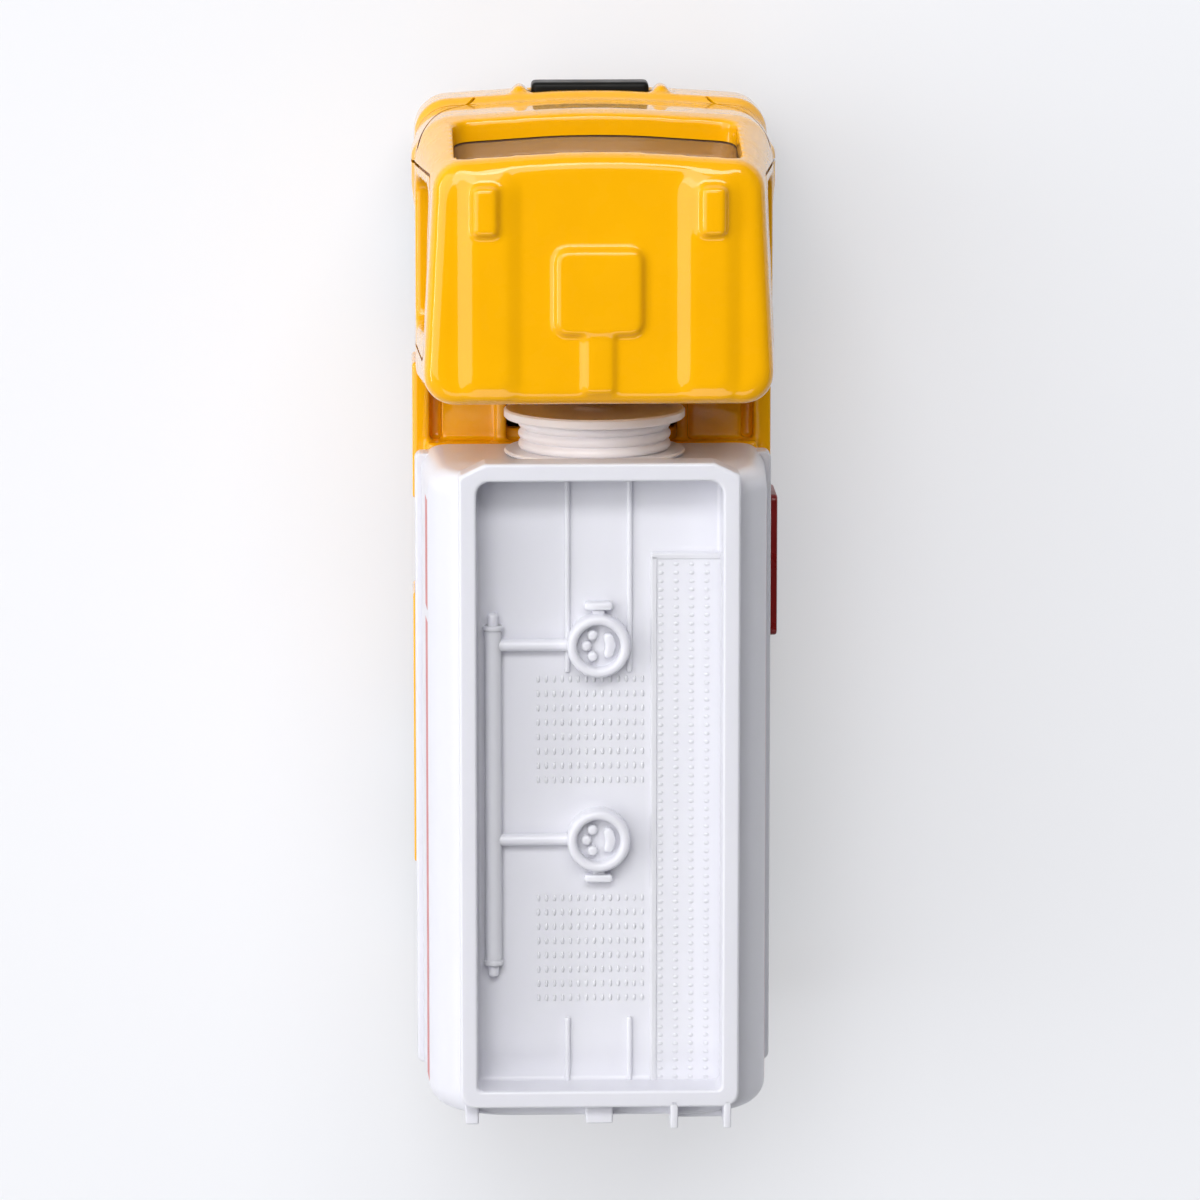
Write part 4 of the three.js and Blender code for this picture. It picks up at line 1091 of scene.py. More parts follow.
@dataclass
class Cabin:
    """Smoky window insert, and the dashboard, bench and steering wheel behind it."""

    cab: Cab
    glass: float = 0.7
    seat: float = 0.08
    floor: Span = (11.1, 11.9)
    half: float = 10.7
    along: Span = (18.5, 33.4)
    # Rear edge and top.
    dash: tuple[float, float] = (30.4, 16.1)
    bench: Span = (18.8, 24.2)
    backrest: float = 20.2
    pads: tuple[Span, Span] = ((-9.2, -0.4), (0.4, 9.2))
    wheel: Corner = (5.4, 29.24, 15.88)
    wheel_radius: float = 1.7
    wheel_tilt: float = 0.7
    rim_radius: float = 0.28

    def build(self) -> None:
        """Builds the insert and the cabin's fittings."""
        inset = self.cab.wall + self.seat
        bottom = self.cab.sill - 1.0
        shell = self.cab.space(inset, bottom)
        behind = Form.block(centred(15), (10, 18.4), (0, 40))
        shell.carve(Carving.AWAY, self.cab.space(inset + self.glass, bottom - 1), behind)
        shell.deliver("window_shell", CLEAR_PAINTED_REFLECTION, "truck", "window_insert", crease=35)
        self.fittings().deliver("cabin_fittings", GREY, "truck", "interior")

    def fittings(self) -> Form:
        """Dashboard with its instrument hood, bench with two seat pads, and steering wheel."""
        half, low, (rear, front) = self.half, self.floor[0], self.along
        dash_rear, dash_top = self.dash
        nose = [(half, front, 1.6), (-half, front, 1.6)]
        plan = [(-half, rear, 0.6), (half, rear, 0.6), *nose]
        dash = [(-half, dash_rear, 0.3), (half, dash_rear, 0.3), *nose]
        made = Form.plate(Axis.Z, plan, self.floor, edge=0.15)
        made.add(Form.plate(Axis.Z, dash, (low, dash_top), edge=0.35))
        made.add(Form.block((2.9, 7.9), (30.42, 32.2), (15.4, 16.2), edge=0.3, steps=3))
        made.add(Form.block((-2.0, 1.6), (30.42, 30.9), (12.6, 15.2), edge=0.15))
        for x in self.pads:
            made.add(Form.block(x, self.bench, (low, 14.3), edge=0.7, steps=4))
            made.add(Form.block(x, (self.bench[0], self.backrest), (low, 19.3), edge=0.55, steps=4))
        return made.add(self.steering())

    def steering(self) -> Form:
        """Steering wheel with three spokes on its column."""
        turns = [math.tau * i / 12 for i in range(12)]
        thick = self.rim_radius
        rim = [(self.wheel_radius + thick * math.cos(t), thick * math.sin(t)) for t in turns]
        made = Form.lathe(Axis.Z, rim, steps=40, closed=True)
        made.add(Form.rod(Axis.Z, thick, (-2.2, 0.1), (0, 0), flats=16))
        made.add(Form.rod(Axis.Z, 0.55, (-0.15, 0.2), (0, 0), edge=0.1, flats=24))
        for turn in (90, 210, 330):
            spoke = Form.block((0, self.wheel_radius), (-0.2, 0.2), (-0.1, 0.1), edge=0.06)
            made.add(spoke.tilt(math.radians(turn), Axis.Z))
        return made.tilt(self.wheel_tilt).move(*self.wheel)


@dataclass
class Underside:
    """Black base plate with its bars and axle cheeks, and the rivets and springs that it holds."""

    plate: Span = (2.7, 4.2)
    pad: float = 0.5
    # Half width and top.
    seat: tuple[float, float] = (2.1, 5.68)
    tail: Span = (-35.6, -34.4)
    # Half width and heights.
    bar: tuple[float, Span] = (4.4, (5.6, 8.2))
    # Place of each axle and the plate's half width there.
    axles: tuple[Span, ...] = ((FRONT_AXLE, 7.4), (MIDDLE_AXLE, 6.2), (REAR_AXLE, 6.2))
    # How far its faces stand in from the plate's side, and its reach from the axle.
    cheek: tuple[Span, float] = ((1.4, 0.4), 2.6)
    trough: float = 0.76
    edge: float = 0.15
    # Node, clamp, axle and tip of each strip.
    springs: dict[str, tuple[str, float, float, float]] = field(
        default_factory=lambda: {
            "front": ("front_spring", 26.7, FRONT_AXLE, 22.6),
            "middle": ("rear_spring", -19.6, MIDDLE_AXLE, -13.8),
            "rear": ("rear_spring", -22.0, REAR_AXLE, -27.8),
        }
    )

    def build(self) -> None:
        """Builds the base plate, the rivets and the springs."""
        whole, *rest = self.plates()
        whole.carve(Carving.JOIN, *rest).carve(Carving.AWAY, *self.cuts())
        whole.soften(grain=0.14, passes=2, share=0.22)
        whole.deliver("base_moulding", BLACK, "truck", "base_plate", crease=50)
        for name in ("front_rivet", "rear_rivet"):
            self.rivet(name)
        for name, (node, clamp, axle, tip) in self.springs.items():
            self.spring(name, node, clamp, axle, tip)

    def rivet(self, node: str) -> None:
        """A rivet with a domed head, at its node's place."""
        low, high = (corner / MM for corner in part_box(node))
        middle = (low + high) / 2
        dome, head, shank = 0.4, 1.5, 0.7
        turns = [math.radians(a) for a in range(0, 91, 10)]
        profile = [(head * math.sin(t), low.z + dome - dome * math.cos(t)) for t in turns]
        profile += [(shank, low.z + dome), (shank, high.z - 0.15), (0.55, high.z), (0, high.z)]
        made = Form.lathe(Axis.Z, profile, steps=40).move(middle.x, middle.y)
        made.deliver(f"{node}_head", STEEL, "truck", node)

    def spring(self, end: str, node: str, clamp: float, axle: float, tip: float) -> None:
        """A flat strip in many short sections between its clamp and its axle.

        Args:
            end: The end of the truck that it springs.
            node: The node that it stands for.
            clamp: Where its clamp lets it go.
            axle: Where it lies on the axle.
            tip: Where it ends.
        """
        low, high = (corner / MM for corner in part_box(node))
        root = high.y if end == "front" else (low.y + high.y) / 2
        places = sorted({root, *(clamp + (axle - clamp) * i / 10 for i in range(11)), tip})
        section = rectangle((low.x, high.x), (low.z, high.z), radius=0.06)
        strip = Form.loft(Axis.Y, [(y, section) for y in places], steps=3)
        piece = strip.deliver(f"{end}_spring_strip", SPRING, "", node)
        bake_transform(piece)

    def plates(self) -> list[Form]:
        """Plate sections, front bar, tail bar, spring seats and cheeks."""
        plate, edge = self.plate, self.edge
        bottom = plate[0]
        bar, bar_height = centred(self.bar[0]), self.bar[1]
        seat, seat_height = centred(self.seat[0]), (bottom, self.seat[1])
        tail, tail_half = self.tail, centred(11)
        made = [
            Form.block(centred(9.2), (30.1, 34.6), plate, edge),
            Form.block(centred(7.4), (17.5, 30.5), plate, edge),
            Form.block(centred(8.4), (-9.5, 17.9), plate, edge),
            Form.block(centred(6.2), (-33.0, -9.1), plate, edge),
            Form.block(tail_half, (tail[0], -32.5), plate, edge),
            Form.block(tail_half, tail, (bottom, 7.6), edge),
            Form.block(centred(5), (-5, 9), (bottom - self.pad, plate[1]), edge),
            Form.block(seat, (26.75, 28.55), seat_height, edge),
            Form.block(seat, (-21.8, -19.8), seat_height, edge),
            Form.block(bar, (34.1, 34.6), (bottom, bar_height[1]), edge),
            Form.block(bar, (34.1, 37.45), bar_height, edge=0.3, steps=3),
        ]
        (outer, inner), reach = self.cheek
        for y, waist in self.axles:
            across, along = (waist - outer, waist - inner), (y - reach, y + reach)
            cheek = Form.block(across, along, (bottom, bar_height[1]), edge)
            made += [cheek, cheek.twin()]
        return made

    def cuts(self) -> list[Form]:
        """Axle troughs and rivet holes."""
        gap = self.trough
        troughs = [
            Form.block(centred(waist + 1), (y - gap, y + gap), (3.24, 9.0))
            for y, waist in self.axles
        ]
        holes = [Form.rod(Axis.Z, gap, (1.5, 5.0), (0, y), flats=24) for y in RIVETS]
        return troughs + holes


@dataclass
class Wheelset:
    """An axle with a tyre and a hub at both ends."""

    name: str
    y: float
    width: float
    twin: bool
    height: float = AXLE_HEIGHT
    face: float = 12.9
    radius: float = 5.0
    shoulder: float = 0.45
    split: float = 0.6
    split_depth: float = 1.2
    # Half widths at its top and bottom, and depth.
    groove: Corner = (0.12, 0.08, 0.18)
    hub: float = 3.1
    dish: float = 0.9
    pin: float = 0.7
    bore: float = 0.76
    play: float = 0.06
    lugs: int = 8
    lug_circle: float = 2.0

    def build(self) -> None:
        """Builds the axle and both wheels."""
        head = self.face - self.dish + self.play
        profile = [(0, -head - 0.5), (0.9, -head - 0.5), (1.15, -head - 0.3), (1.15, -head)]
        profile.append((self.pin, -head))
        profile += [(r, -x) for r, x in reversed(profile)]
        axle = self.set_down(Form.lathe(Axis.X, profile, steps=40))
        axle.deliver(f"{self.name}_axle_pin", STEEL, f"{self.name}_axle", f"{self.name}_axle")
        for side in Side:
            wheel = f"{self.name}_{side.name.lower()}"
            for form, piece, finish in ((self.tyre(), "tyre", TYRE), (self.rim(), "hub", HUB)):
                out = form.move(self.face - self.width)
                form = self.set_down(out if side is Side.RIGHT else out.twin())
                form.deliver(f"{wheel}_{piece}_ring", finish, f"{wheel}_wheel", f"{wheel}_{piece}")

    def set_down(self, form: Form) -> Form:
        """Moves a form from the origin to the axle's place."""
        return form.move(0, self.y, self.height)

    def tyre(self) -> Form:
        """Tyre with a rounded shoulder, tread grooves and the gap of a twin pair."""
        width, seat, half_split = self.width, self.hub + self.play, self.split / 2
        widths = [(0, width)]
        if self.twin:
            widths = [(0, width / 2 - half_split), (width / 2 + half_split, width)]
        profile: list[Span] = []
        for start, end in widths:
            profile += self.tread(start, end)
            if self.twin and start == 0:
                depth = self.radius - self.split_depth
                profile += [(depth, end), (depth, end + self.split)]
        return Form.lathe(Axis.X, [(seat, 0), *profile, (seat, width)], steps=96, closed=True)

    def tread(self, start: float, end: float) -> list[Span]:
        """Profile of one tyre's outer face, with three grooves.

        Args:
            start: Where the tyre starts across the truck.
            end: Where it ends.

        Returns:
            Points from its inner wall to its outer wall.
        """
        radius, round_off = self.radius, self.shoulder
        rise = [
            (radius - round_off * (1 - math.sin(t)), start + round_off * (1 - math.cos(t)))
            for t in QUARTER_TURN
        ]
        fall = [(r, start + end - x) for r, x in reversed(rise)]
        wall = [(radius - 1.5, start), (radius - 1.3, start + 0.06), (radius - 1.1, start)]
        pitch = (end - start) / 4
        top, bottom, depth = self.groove
        grooves: list[Span] = []
        for middle in (start + pitch, start + 2 * pitch, start + 3 * pitch):
            grooves += [(radius, middle - top), (radius - depth, middle - bottom)]
            grooves += [(radius - depth, middle + bottom), (radius, middle + top)]
        outer = [(r, start + end - x) for r, x in reversed(wall)]
        return [*wall, *rise, *grooves, *fall, *outer]

    def rim(self) -> Form:
        """Dished hub with a rolled lip, a raised middle and wheel nuts."""
        width, hub = self.width, self.hub
        dish = width - self.dish
        profile = [
            (self.bore, 0.3),
            (hub, 0.3),
            (hub, width - 0.6),
            (hub - 0.1, width - 0.47),
            (hub - 0.25, width - 0.45),
            (hub - 0.45, width - 0.5),
            (hub - 0.6, width - 0.7),
            (hub - 0.85, dish - 0.25),
            (1.9, dish - 0.3),
            (1.55, dish - 0.2),
            (1.4, dish),
            (self.bore, dish),
        ]
        made = Form.lathe(Axis.X, profile, steps=64, closed=True)
        for i in range(self.lugs):
            turn = math.tau * i / self.lugs
            place = (self.lug_circle * math.cos(turn), self.lug_circle * math.sin(turn))
            made.add(Form.rod(Axis.X, 0.2, (dish - 0.5, dish - 0.1), place, edge=0.05, flats=6))
        return made


def quarter(radius: float, depth: float) -> float:
    """How far a quarter round draws in at a depth behind its face."""
    left = max(radius - depth, 0.0)
    return radius - math.sqrt(radius * radius - left * left)


@dataclass
class Tank:
    """White moulded tank with its foot ledge, tray, tray fittings and rear fittings."""

    half: float = 12.6
    ends: Span = (-37.05, 10.9)
    height: Span = (12.98, 27.98)
    shoulder: float = 4.6
    foot: float = 0.6
    corner: float = 1.7
    edge: float = 0.3
    draft: float = 0.3
    ledge: float = 13.3
    ledge_ends: Span = (-36.15, 10.5)
    ledge_top: float = 14.98
    ledge_corner: float = 0.55
    rim_half: float = 10.22
    rim_ends: Span = (-35.85, 12.05)
    # Sides and front.
    rim_walls: tuple[float, float] = (1.28, 1.32)
    rim_top: float = 30.48
    rim_foot: float = 25.7
    rim_edge: float = 0.22
    tray_floor: float = 26.98
    tray_round: float = 0.35
    # Rear and front.
    tray_corners: tuple[float, float] = (0.45, 1.0)
    # Place along the truck, and the side of the hinge tab: one is in front.
    manholes: tuple[tuple[float, int], ...] = ((-1.8, 1), (-16.3, -1))
    pipe: Span = (-25.7, -0.3)
    pipe_x: float = -7.72
    walkway: tuple[Span, Span] = ((3.78, 9.7), (-35.3, 5.0))
    walk_height: float = 0.3
    rib_x: float = 2.28
    rib_runs: tuple[Span, Span] = ((-3.9, 11.3), (-35.3, -29.8))
    ladder: Span = (5.48, 9.38)
    ladder_rear: float = -37.45
    rungs: int = 4
    post_rear: float = -37.3
    # Radius and height.
    peg_bore: tuple[float, float] = (1.16, 18.0)

    def build(self) -> None:
        """Builds the tank and all that is moulded on it."""
        shell = self.barrel().carve(Carving.JOIN, self.foot_ledge(), self.rim())
        bore, bore_height = self.peg_bore
        shell.carve(Carving.AWAY, self.tray(), Form.rod(Axis.Y, bore, (9.9, 14), (0, bore_height)))
        shell.deliver("tank_shell", TANK_WHITE, "truck", "tank_body")
        fittings = Form().add(*self.walk_and_ribs(), *self.pipework(), *self.rear_fittings())
        for y, side in self.manholes:
            fittings.add(*self.manhole(y, side))
        fittings.deliver("tank_fittings", TANK_WHITE, "truck", "tank_body", crease=45)
        self.treads().deliver("tread_beads", TANK_WHITE, "truck", "tank_body", crease=80)

    def section(self, depth: float) -> list[Corner]:
        """Cross-section of the barrel at a depth behind one of its ends."""
        half, drawn = self.half - quarter(self.corner, depth), quarter(self.edge, depth)
        low, high = self.height[0] + drawn, self.height[1] - drawn
        wide, narrow = half + self.draft, half - self.draft
        feet = [(-wide, low, self.foot), (wide, low, self.foot)]
        return [*feet, (narrow, high, self.shoulder), (-narrow, high, self.shoulder)]

    def barrel(self) -> Form:
        """Boxy barrel with round shoulders, flat ends and rounded upright corners."""
        turns = [1 - math.sin(math.radians(a)) for a in range(90, -1, -10)]
        depths = sorted({round(r * t, 4) for r in (self.edge, self.corner) for t in turns})
        levels = [(depth, self.section(depth)) for depth in depths]
        rear = [(self.ends[0] + depth, section) for depth, section in levels]
        front = [(self.ends[1] - depth, section) for depth, section in levels]
        return Form.loft(Axis.Y, rear + front[::-1], steps=12)

    def foot_ledge(self) -> Form:
        """The ledge round the tank's foot."""
        plan = rectangle(centred(self.ledge), self.ledge_ends, self.ledge_corner)
        return Form.plate(Axis.Z, plan, (self.height[0], self.ledge_top), edge=0.2)

    def rim_plan(self, front: float, inset: float = 0.0) -> list[Corner]:
        """Plan of the rim up to a front edge, its front corners cut off, drawn in by an inset."""
        half, rear, front = self.rim_half - inset, self.rim_ends[0] + inset, front - inset
        right = [(half, rear, 1.0), (half, front - 0.9, 0.4), (half - 1.9, front, 0.4)]
        return [*right, *((-x, y, radius) for x, y, radius in reversed(right))]

    def rim(self) -> Form:
        """The tray's rim, which hangs out past the tank's front."""
        edge, front = self.rim_edge, self.rim_ends[1]
        foot = self.rim_plan(self.ends[1] - 0.6)
        levels = [(self.rim_foot, foot), (self.height[1], self.rim_plan(front))]
        for turn in QUARTER_TURN:
            plan = self.rim_plan(front, edge * (1 - math.cos(turn)))
            levels.append((self.rim_top - edge * (1 - math.sin(turn)), plan))
        return Form.loft(Axis.Z, levels, steps=5)

    def tray(self) -> Form:
        """The hollow of the tray, rounded at its floor and at the rim's edge."""
        low, high = self.tray_round, self.rim_edge
        curve = [(1 - math.sin(t), 1 - math.cos(t)) for t in QUARTER_TURN]
        levels = [(self.tray_floor + low * up, low * inward) for up, inward in reversed(curve)]
        levels += [(self.rim_top - high * down, -high * outward) for down, outward in curve]
        levels.append((33.0, -high))
        return Form.loft(Axis.Z, [(z, self.tray_plan(inset)) for z, inset in levels], steps=6)

    def tray_plan(self, inset: float) -> list[Corner]:
        """Plan of the tray's hollow, drawn in by an inset."""
        side, nose = self.rim_walls
        half = self.rim_half - side - inset
        rear, front = self.rim_ends[0] + side + inset, self.rim_ends[1] - nose - inset
        tight, wide = self.tray_corners
        noses = [(half, front, wide), (-half, front, wide)]
        return [(-half, rear, tight), (half, rear, tight), *noses]

    def manhole(self, y: float, side: int) -> list[Form]:
        """A manhole ring with its cap, valves and hinge tab.

        Args:
            y: Its place along the truck.
            side: One where the tab is in front, minus one where it is behind.

        Returns:
            Its forms.
        """
        floor = self.tray_floor
        root, top = floor - 0.4, floor + 1.5
        ring = [(0, root), (2.32, root), (2.32, top - 0.34), (2.25, top - 0.12), (2.1, top)]
        ring += [(1.86, top), (1.68, top - 0.08), (1.58, top - 0.28), (1.58, floor + 0.5)]
        ring.append((0, floor + 0.5))
        made = [Form.lathe(Axis.Z, ring, steps=64).move(0, y)]
        for step in (-1.05, 0.0, 1.05):
            place = (0.9 * math.cos(math.pi + step), y + 0.9 * math.sin(math.pi + step))
            made.append(Form.rod(Axis.Z, 0.38, (root, floor + 1.1), place, edge=0.2, flats=24))
        cap = [(0.2, y - 1.05, 0.4), (1.05, y - 0.85, 0.5), (1.3, y, 0.4)]
        cap += [(1.05, y + 0.85, 0.5), (0.2, y + 1.05, 0.4), (0.5, y, 0.3)]
        made.append(Form.plate(Axis.Z, cap, (root, floor + 1.15), edge=0.22))
        hinge = sorted((y + side * 2.2, y + side * 2.8))
        made.append(Form.block(centred(0.45), hinge, (root, floor + 0.6), edge=0.12))
        tab = rectangle(centred(1.05), sorted((y + side * 2.6, y + side * 3.2)), radius=0.29)
        made.append(Form.plate(Axis.Z, tab, (root, floor + 0.88), edge=0.2))
        return made

    def pipework(self) -> list[Form]:
        """Pipe with its collars, domed tips and branches to the manholes."""
        z = self.tray_floor + 0.45
        place = (self.pipe_x, z)
        rear, front = self.pipe
        made = [
            Form.rod(Axis.Y, 0.62, self.pipe, place, edge=0.1, flats=32),
            Form.rod(Axis.Y, 0.4, (rear - 0.9, front + 0.9), place, edge=0.28, flats=24),
            Form.rod(Axis.Y, 0.74, (rear, rear + 0.4), place, edge=0.12, flats=32),
            Form.rod(Axis.Y, 0.74, (front - 0.4, front), place, edge=0.12, flats=32),
        ]
        for y, _ in self.manholes:
            made.append(Form.rod(Axis.X, 0.45, (self.pipe_x, -2.0), (y, z), flats=24))
        return made

    def walk_and_ribs(self) -> list[Form]:
        """Walkway with its border, and the low ribs at the tray's ends."""
        floor = self.tray_floor
        root, top = floor - 0.5, floor + self.walk_height
        across, along = self.walkway
        left, front, border = across[0] + 0.1, along[1] - 0.1, (root, top + 0.07)
        length = (along[0], front - 0.2)
        made = [
            Form.block(across, along, (root, top), edge=0.2, steps=4),
            Form.block((left, left + 0.4), length, border, edge=0.07, steps=3),
            Form.block((left, across[1]), (front - 0.4, front), border, edge=0.07, steps=3),
        ]
        height = (floor - 0.2, floor + 0.3)
        for x in centred(self.rib_x):
            for run in self.rib_runs:
                made.append(Form.block((x - 0.2, x + 0.2), run, height, edge=0.16, steps=3))
        return made

    def rear_fittings(self) -> list[Form]:
        """Ladder, tail post and corner post."""
        low, high, root = self.ledge_top - 0.2, self.rim_top, self.rim_ends[0] + 0.5
        rail, post = (self.ladder_rear, root), (self.post_rear, root)
        made = [Form.block((x - 0.28, x + 0.28), rail, (low, high), edge=0.1) for x in self.ladder]
        depth = (self.ladder_rear + 0.12, self.ladder_rear + 0.62)
        for i in range(1, self.rungs + 1):
            z = low + (high - low) * i / (self.rungs + 1)
            made.append(Form.block(self.ladder, depth, (z - 0.25, z + 0.25), edge=0.1))
        made.append(Form.block(centred(1), post, (low, high - 1), edge=0.15))
        made.append(Form.block((-9.87, -8.87), post, (high - 7, high - 1), edge=0.15))
        return made

    def treads(self) -> Form:
        """Raised tread beads: two patches on the tray's floor and rows along the walkway."""
        made = Form()
        floor, walk = self.tray_floor, self.tray_floor + self.walk_height
        bead, stud = (0.26, 0.56, 0.14), (0.44, 0.32, 0.09)
        patches = (
            (bead, (-4.4, -4.42, floor), (0.587, 1.076), (14, 8)),
            (bead, (-4.4, -20.81, floor), (0.587, 1.076), (14, 8)),
            (stud, (4.55, 4.12, walk), (1.125, 0.63), (5, 62)),
        )
        for size, (x, y, z), (across, along), (columns, rows) in patches:
            for column in range(columns):
                for row in range(rows):
                    made.add(Form.pill(size, (x + column * across, y - row * along, z)))
        return made


@dataclass
class HoseDrum:
    """White ribbed drum with two flanges, moulded in halves."""

    rear: float = 11.0
    height: float = 18.0
    flange: float = 6.7
    core: float = 5.35
    crest: float = 5.65
    length: float = 3.35
    # Thickness of the rear and the front one.
    flanges: tuple[float, float] = (0.3, 0.72)
    edge: float = 0.13
    ribs: int = 3

    def build(self) -> None:
        """Builds the drum."""
        edge, end, flange = self.edge, self.length, self.flange
        first, last = self.flanges[0], end - self.flanges[1]
        profile = [(0, -1.1), (1.0, -1.1), (1.1, -1.0), (1.1, 0), (flange - edge, 0)]
        profile += [(flange, edge), (flange, first - edge), (flange - edge, first)]
        profile += self.rings(first, last)
        profile += [(flange - edge, last), (flange, last + edge), (flange, end - edge)]
        profile += [(flange - edge, end), (5.9, end), (5.7, end - 0.15)]
        profile += [(1.6, end - 0.15), (1.4, end), (0, end)]
        drum = Form.lathe(Axis.Y, profile, steps=128).move(0, self.rear, self.height)
        drum.deliver("hose_drum_ribbed", DRUM_WHITE_PAINTED_LIGHT, "hose_drum", "hose_drum")

    def rings(self, first: float, last: float) -> list[Span]:
        """Profile of the ribs between the flanges."""
        pitch = (last - first) / self.ribs
        made: list[Span] = []
        for i in range(self.ribs):
            for k in range(9):
                radius = self.core + (self.crest - self.core) * math.sin(math.pi * k / 8) ** 0.6
                made.append((radius, first + pitch * (i + 0.02 + 0.96 * k / 8)))
        return made


@dataclass
class Locker:
    """Red side locker with a door panel and its latch."""

    across: Span = (9.25, 14.0)
    along: Span = (-4.15, 6.6)
    height: Span = (5.8, 11.42)
    corner: float = 0.5
    door: Span = (6.5, 10.8)
    border: float = 0.8
    line: float = 0.25
    latch: tuple[Span, Span] = ((1.2, 2.6), (9.3, 10.0))

    def build(self) -> None:
        """Builds the locker."""
        side, line = self.across[1], self.line
        plan = rectangle(self.along, self.height, self.corner)
        box = Form.plate(Axis.X, plan, self.across, edge=0.18)
        rear, front = self.along[0] + self.border, self.along[1] - self.border
        low, high = self.door
        inner = rectangle((rear + line, front - line), (low + line, high - line), radius=0.35)
        door = rectangle((rear, front), self.door, radius=0.5)
        groove = Form.plate(Axis.X, door, (side - 0.2, side + 1))
        groove.carve(Carving.AWAY, Form.plate(Axis.X, inner, (side - 1, side + 2)))
        pocket = Form.block((side - 0.3, side + 1), *self.latch)
        box.carve(Carving.AWAY, groove, pocket)
        box.deliver("locker_box", RED, "truck", "side_locker", crease=35)


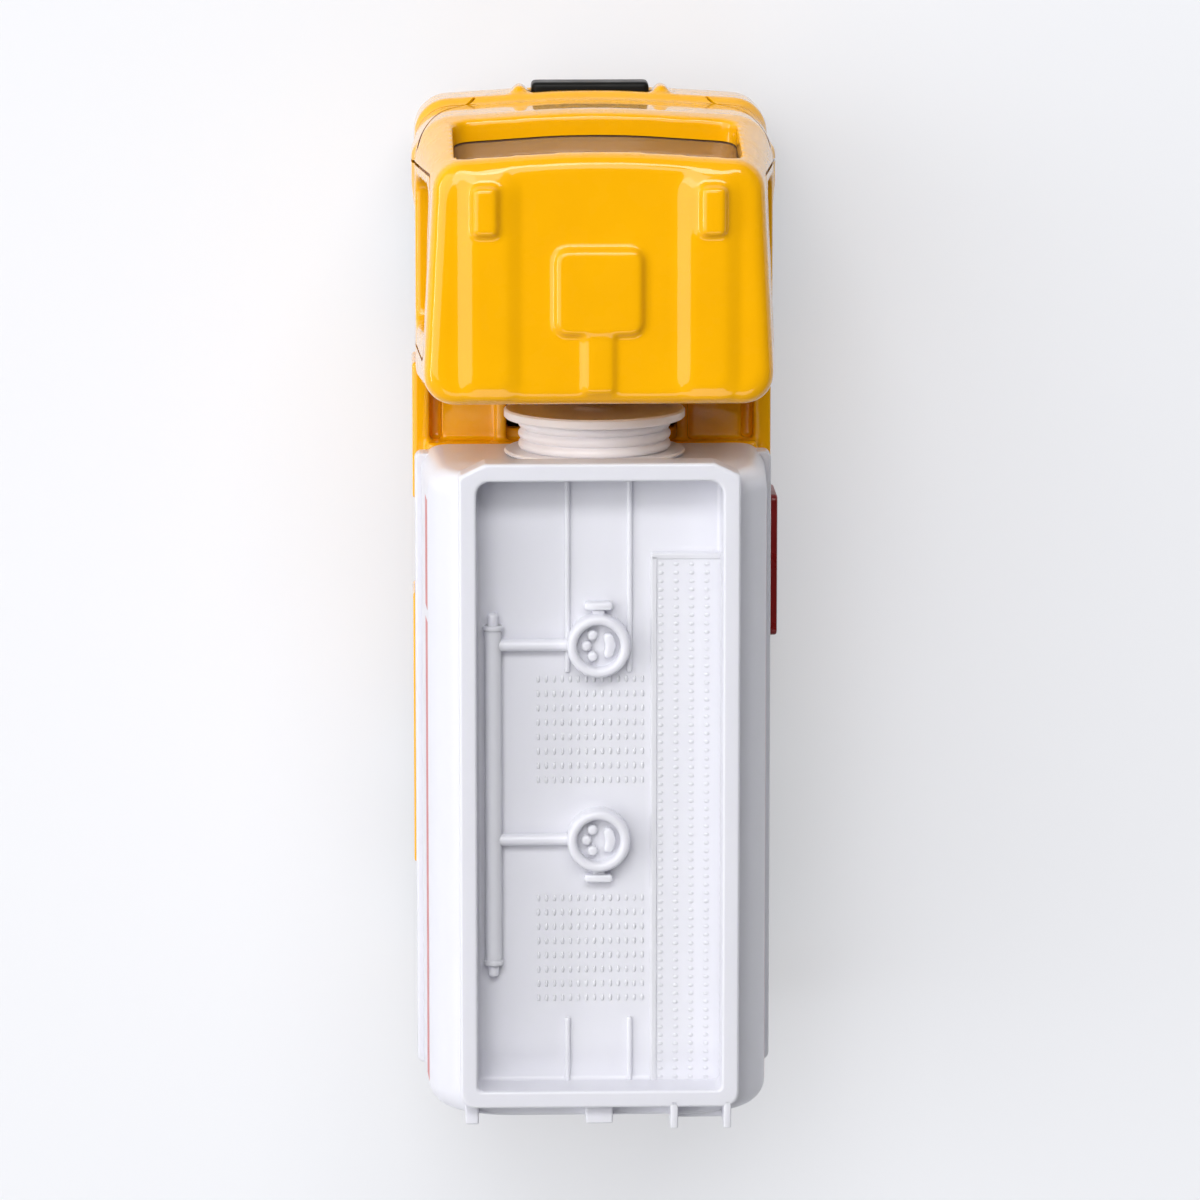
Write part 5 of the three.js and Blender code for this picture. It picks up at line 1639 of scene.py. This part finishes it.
@dataclass
class Studio:
    """Pale floor, soft light and the camera above the truck."""

    aim: Corner = (0.35, 0.2, 20.0)
    distance: float = 500.0
    ahead: float = math.radians(10.1)
    left: float = math.radians(1.87)
    lens: float = 202.5
    floor: Colour = (0.86, 0.87, 0.91, 1)
    overhead: float = 0.13
    sides: Span = (0.34, 0.06)
    backdrop: Colour = (0.955, 0.965, 0.995, 1)
    sky: Colour = (0.965, 0.975, 1.0, 1)
    lift: float = 0.42
    lamps: tuple[tuple[str, Corner, Span, float], ...] = (
        ("left_box", (-0.7, 0.22, 0.88), (1.1, 1.1), 6.9),
        ("left_strip", (-0.95, 0.0, 0.45), (1.0, 0.1), 2.2),
        ("front_strip", (0.0, 0.68, 0.86), (0.9, 0.24), 5.0),
        ("rear_strip", (0.0, -0.7, 0.9), (0.9, 0.3), 1.5),
        ("front_box", (-0.15, 0.42, 1.05), (0.5, 0.5), 2.3),
    )

    def build(self) -> None:
        """Sets up the camera, the floor, the sky and the lamps."""
        scene = bpy.context.scene
        scene.view_settings.view_transform = "Standard"
        self.camera(scene)
        self.ground()
        self.heavens(scene)
        for name, place, size, power in self.lamps:
            self.lamp(name, Vector(place), size, power)

    def camera(self, scene: bpy.types.Scene) -> None:
        """Places the camera above the truck, a little ahead of it and to its left."""
        away = Vector((-math.tan(self.left), math.tan(self.ahead), 1.0)).normalized()
        across = Vector((0, 1, 0)).cross(away).normalized()
        turn = Matrix((across, away.cross(across), away)).transposed().to_4x4()
        data = bpy.data.cameras.new("camera")
        data.sensor_width, data.lens = 36.0, self.lens
        data.clip_start, data.clip_end = 0.01, 20.0
        made = bpy.data.objects.new("camera", data)
        place = (Vector(self.aim) + away * self.distance) * MM
        made.matrix_world = Matrix.Translation(place) @ turn
        scene.collection.objects.link(made)
        scene.camera = made

    def ground(self) -> None:
        """Lays the pale floor under the wheels."""
        sheet = bpy.data.meshes.new("floor")
        plan = bmesh.new()
        bmesh.ops.create_circle(plan, cap_ends=True, segments=96, radius=6.0)
        plan.to_mesh(sheet)
        plan.free()
        piece = bpy.data.objects.new("floor", sheet)
        bpy.context.scene.collection.objects.link(piece)
        recipe = Recipe("studio_floor")
        tone = recipe.map(recipe.noise(400.0, 2.0), (0.3, 0.7), (0.0, 0.3))
        recipe.set(Base_Color=recipe.mix(tone, self.floor, dimmed(self.floor, 0.97)))
        recipe.set(Roughness=0.7, Specular_IOR_Level=0.2)
        self.lift_backdrop(recipe)
        sheet.materials.append(recipe.material)

    def lift_backdrop(self, recipe: Recipe) -> None:
        """Makes the floor paler where the camera sees it, straight or in a reflection."""
        rays = recipe.node("ShaderNodeLightPath").outputs
        seen = recipe.math("MAXIMUM", rays["Is Camera Ray"], rays["Is Glossy Ray"])
        seen = recipe.math("MAXIMUM", seen, rays["Is Transmission Ray"])
        white = recipe.node("ShaderNodeEmission")
        recipe.feed(white.inputs["Color"], self.backdrop)
        blend = recipe.node("ShaderNodeMixShader")
        share = recipe.math("MULTIPLY", seen, self.lift)
        parts = (share, recipe.shader.outputs[0], white.outputs[0])
        for socket, part in zip(blend.inputs, parts):
            recipe.feed(socket, part)
        recipe.feed(recipe.tree.nodes["Material Output"].inputs["Surface"], blend.outputs[0])

    def heavens(self, scene: bpy.types.Scene) -> None:
        """A pale sky, dark overhead and brighter on the left than on the right."""
        world = bpy.data.worlds.new("studio")
        scene.world = world
        world.use_nodes = True
        nodes, links = world.node_tree.nodes, world.node_tree.links
        place = nodes.new("ShaderNodeTexCoord")
        split = nodes.new("ShaderNodeSeparateXYZ")
        links.new(place.outputs["Generated"], split.inputs[0])
        level = nodes.new("ShaderNodeMath")
        level.operation = "MULTIPLY"
        spans = (("X", (-0.7, 0.7, *self.sides)), ("Z", (0.6, 0.9, 1.0, self.overhead)))
        for (axis, numbers), factor in zip(spans, level.inputs):
            span = nodes.new("ShaderNodeMapRange")
            links.new(split.outputs[axis], span.inputs["Value"])
            for socket, number in zip(span.inputs[1:5], numbers):
                socket.default_value = number
            links.new(span.outputs["Result"], factor)
        shade = nodes["Background"]
        shade.inputs["Color"].default_value = self.sky
        links.new(level.outputs[0], shade.inputs["Strength"])

    def lamp(self, name: str, place: Vector, size: Span, power: float) -> None:
        """Hangs a softbox that faces the truck.

        Args:
            name: Its name.
            place: Where it hangs, in metres.
            size: Its width and height.
            power: Its strength in watts.
        """
        data = bpy.data.lights.new(name, "AREA")
        data.shape, data.size, data.size_y = "RECTANGLE", size[0], size[1]
        data.energy = power
        made = bpy.data.objects.new(name, data)
        made.location = place
        made.rotation_euler = (-place).to_track_quat("-Z", "Y").to_euler()
        bpy.context.scene.collection.objects.link(made)


def main() -> None:
    """Builds the studio and the truck's sub-assemblies in order."""
    logging.basicConfig(level=logging.INFO, format="%(name)s %(message)s")
    cab = Cab()
    assemblies = [
        Studio(),
        cab,
        Frame(),
        Cabin(cab),
        Underside(),
        Wheelset("front", FRONT_AXLE, width=3.2, twin=False),
        Wheelset("middle", MIDDLE_AXLE, width=6.2, twin=True),
        Wheelset("rear", REAR_AXLE, width=6.2, twin=True),
        Tank(),
        HoseDrum(),
        Locker(),
    ]
    for assembly in assemblies:
        assembly.build()
        log.info("%s built", type(assembly).__name__)


if __name__ == "__main__":
    main()
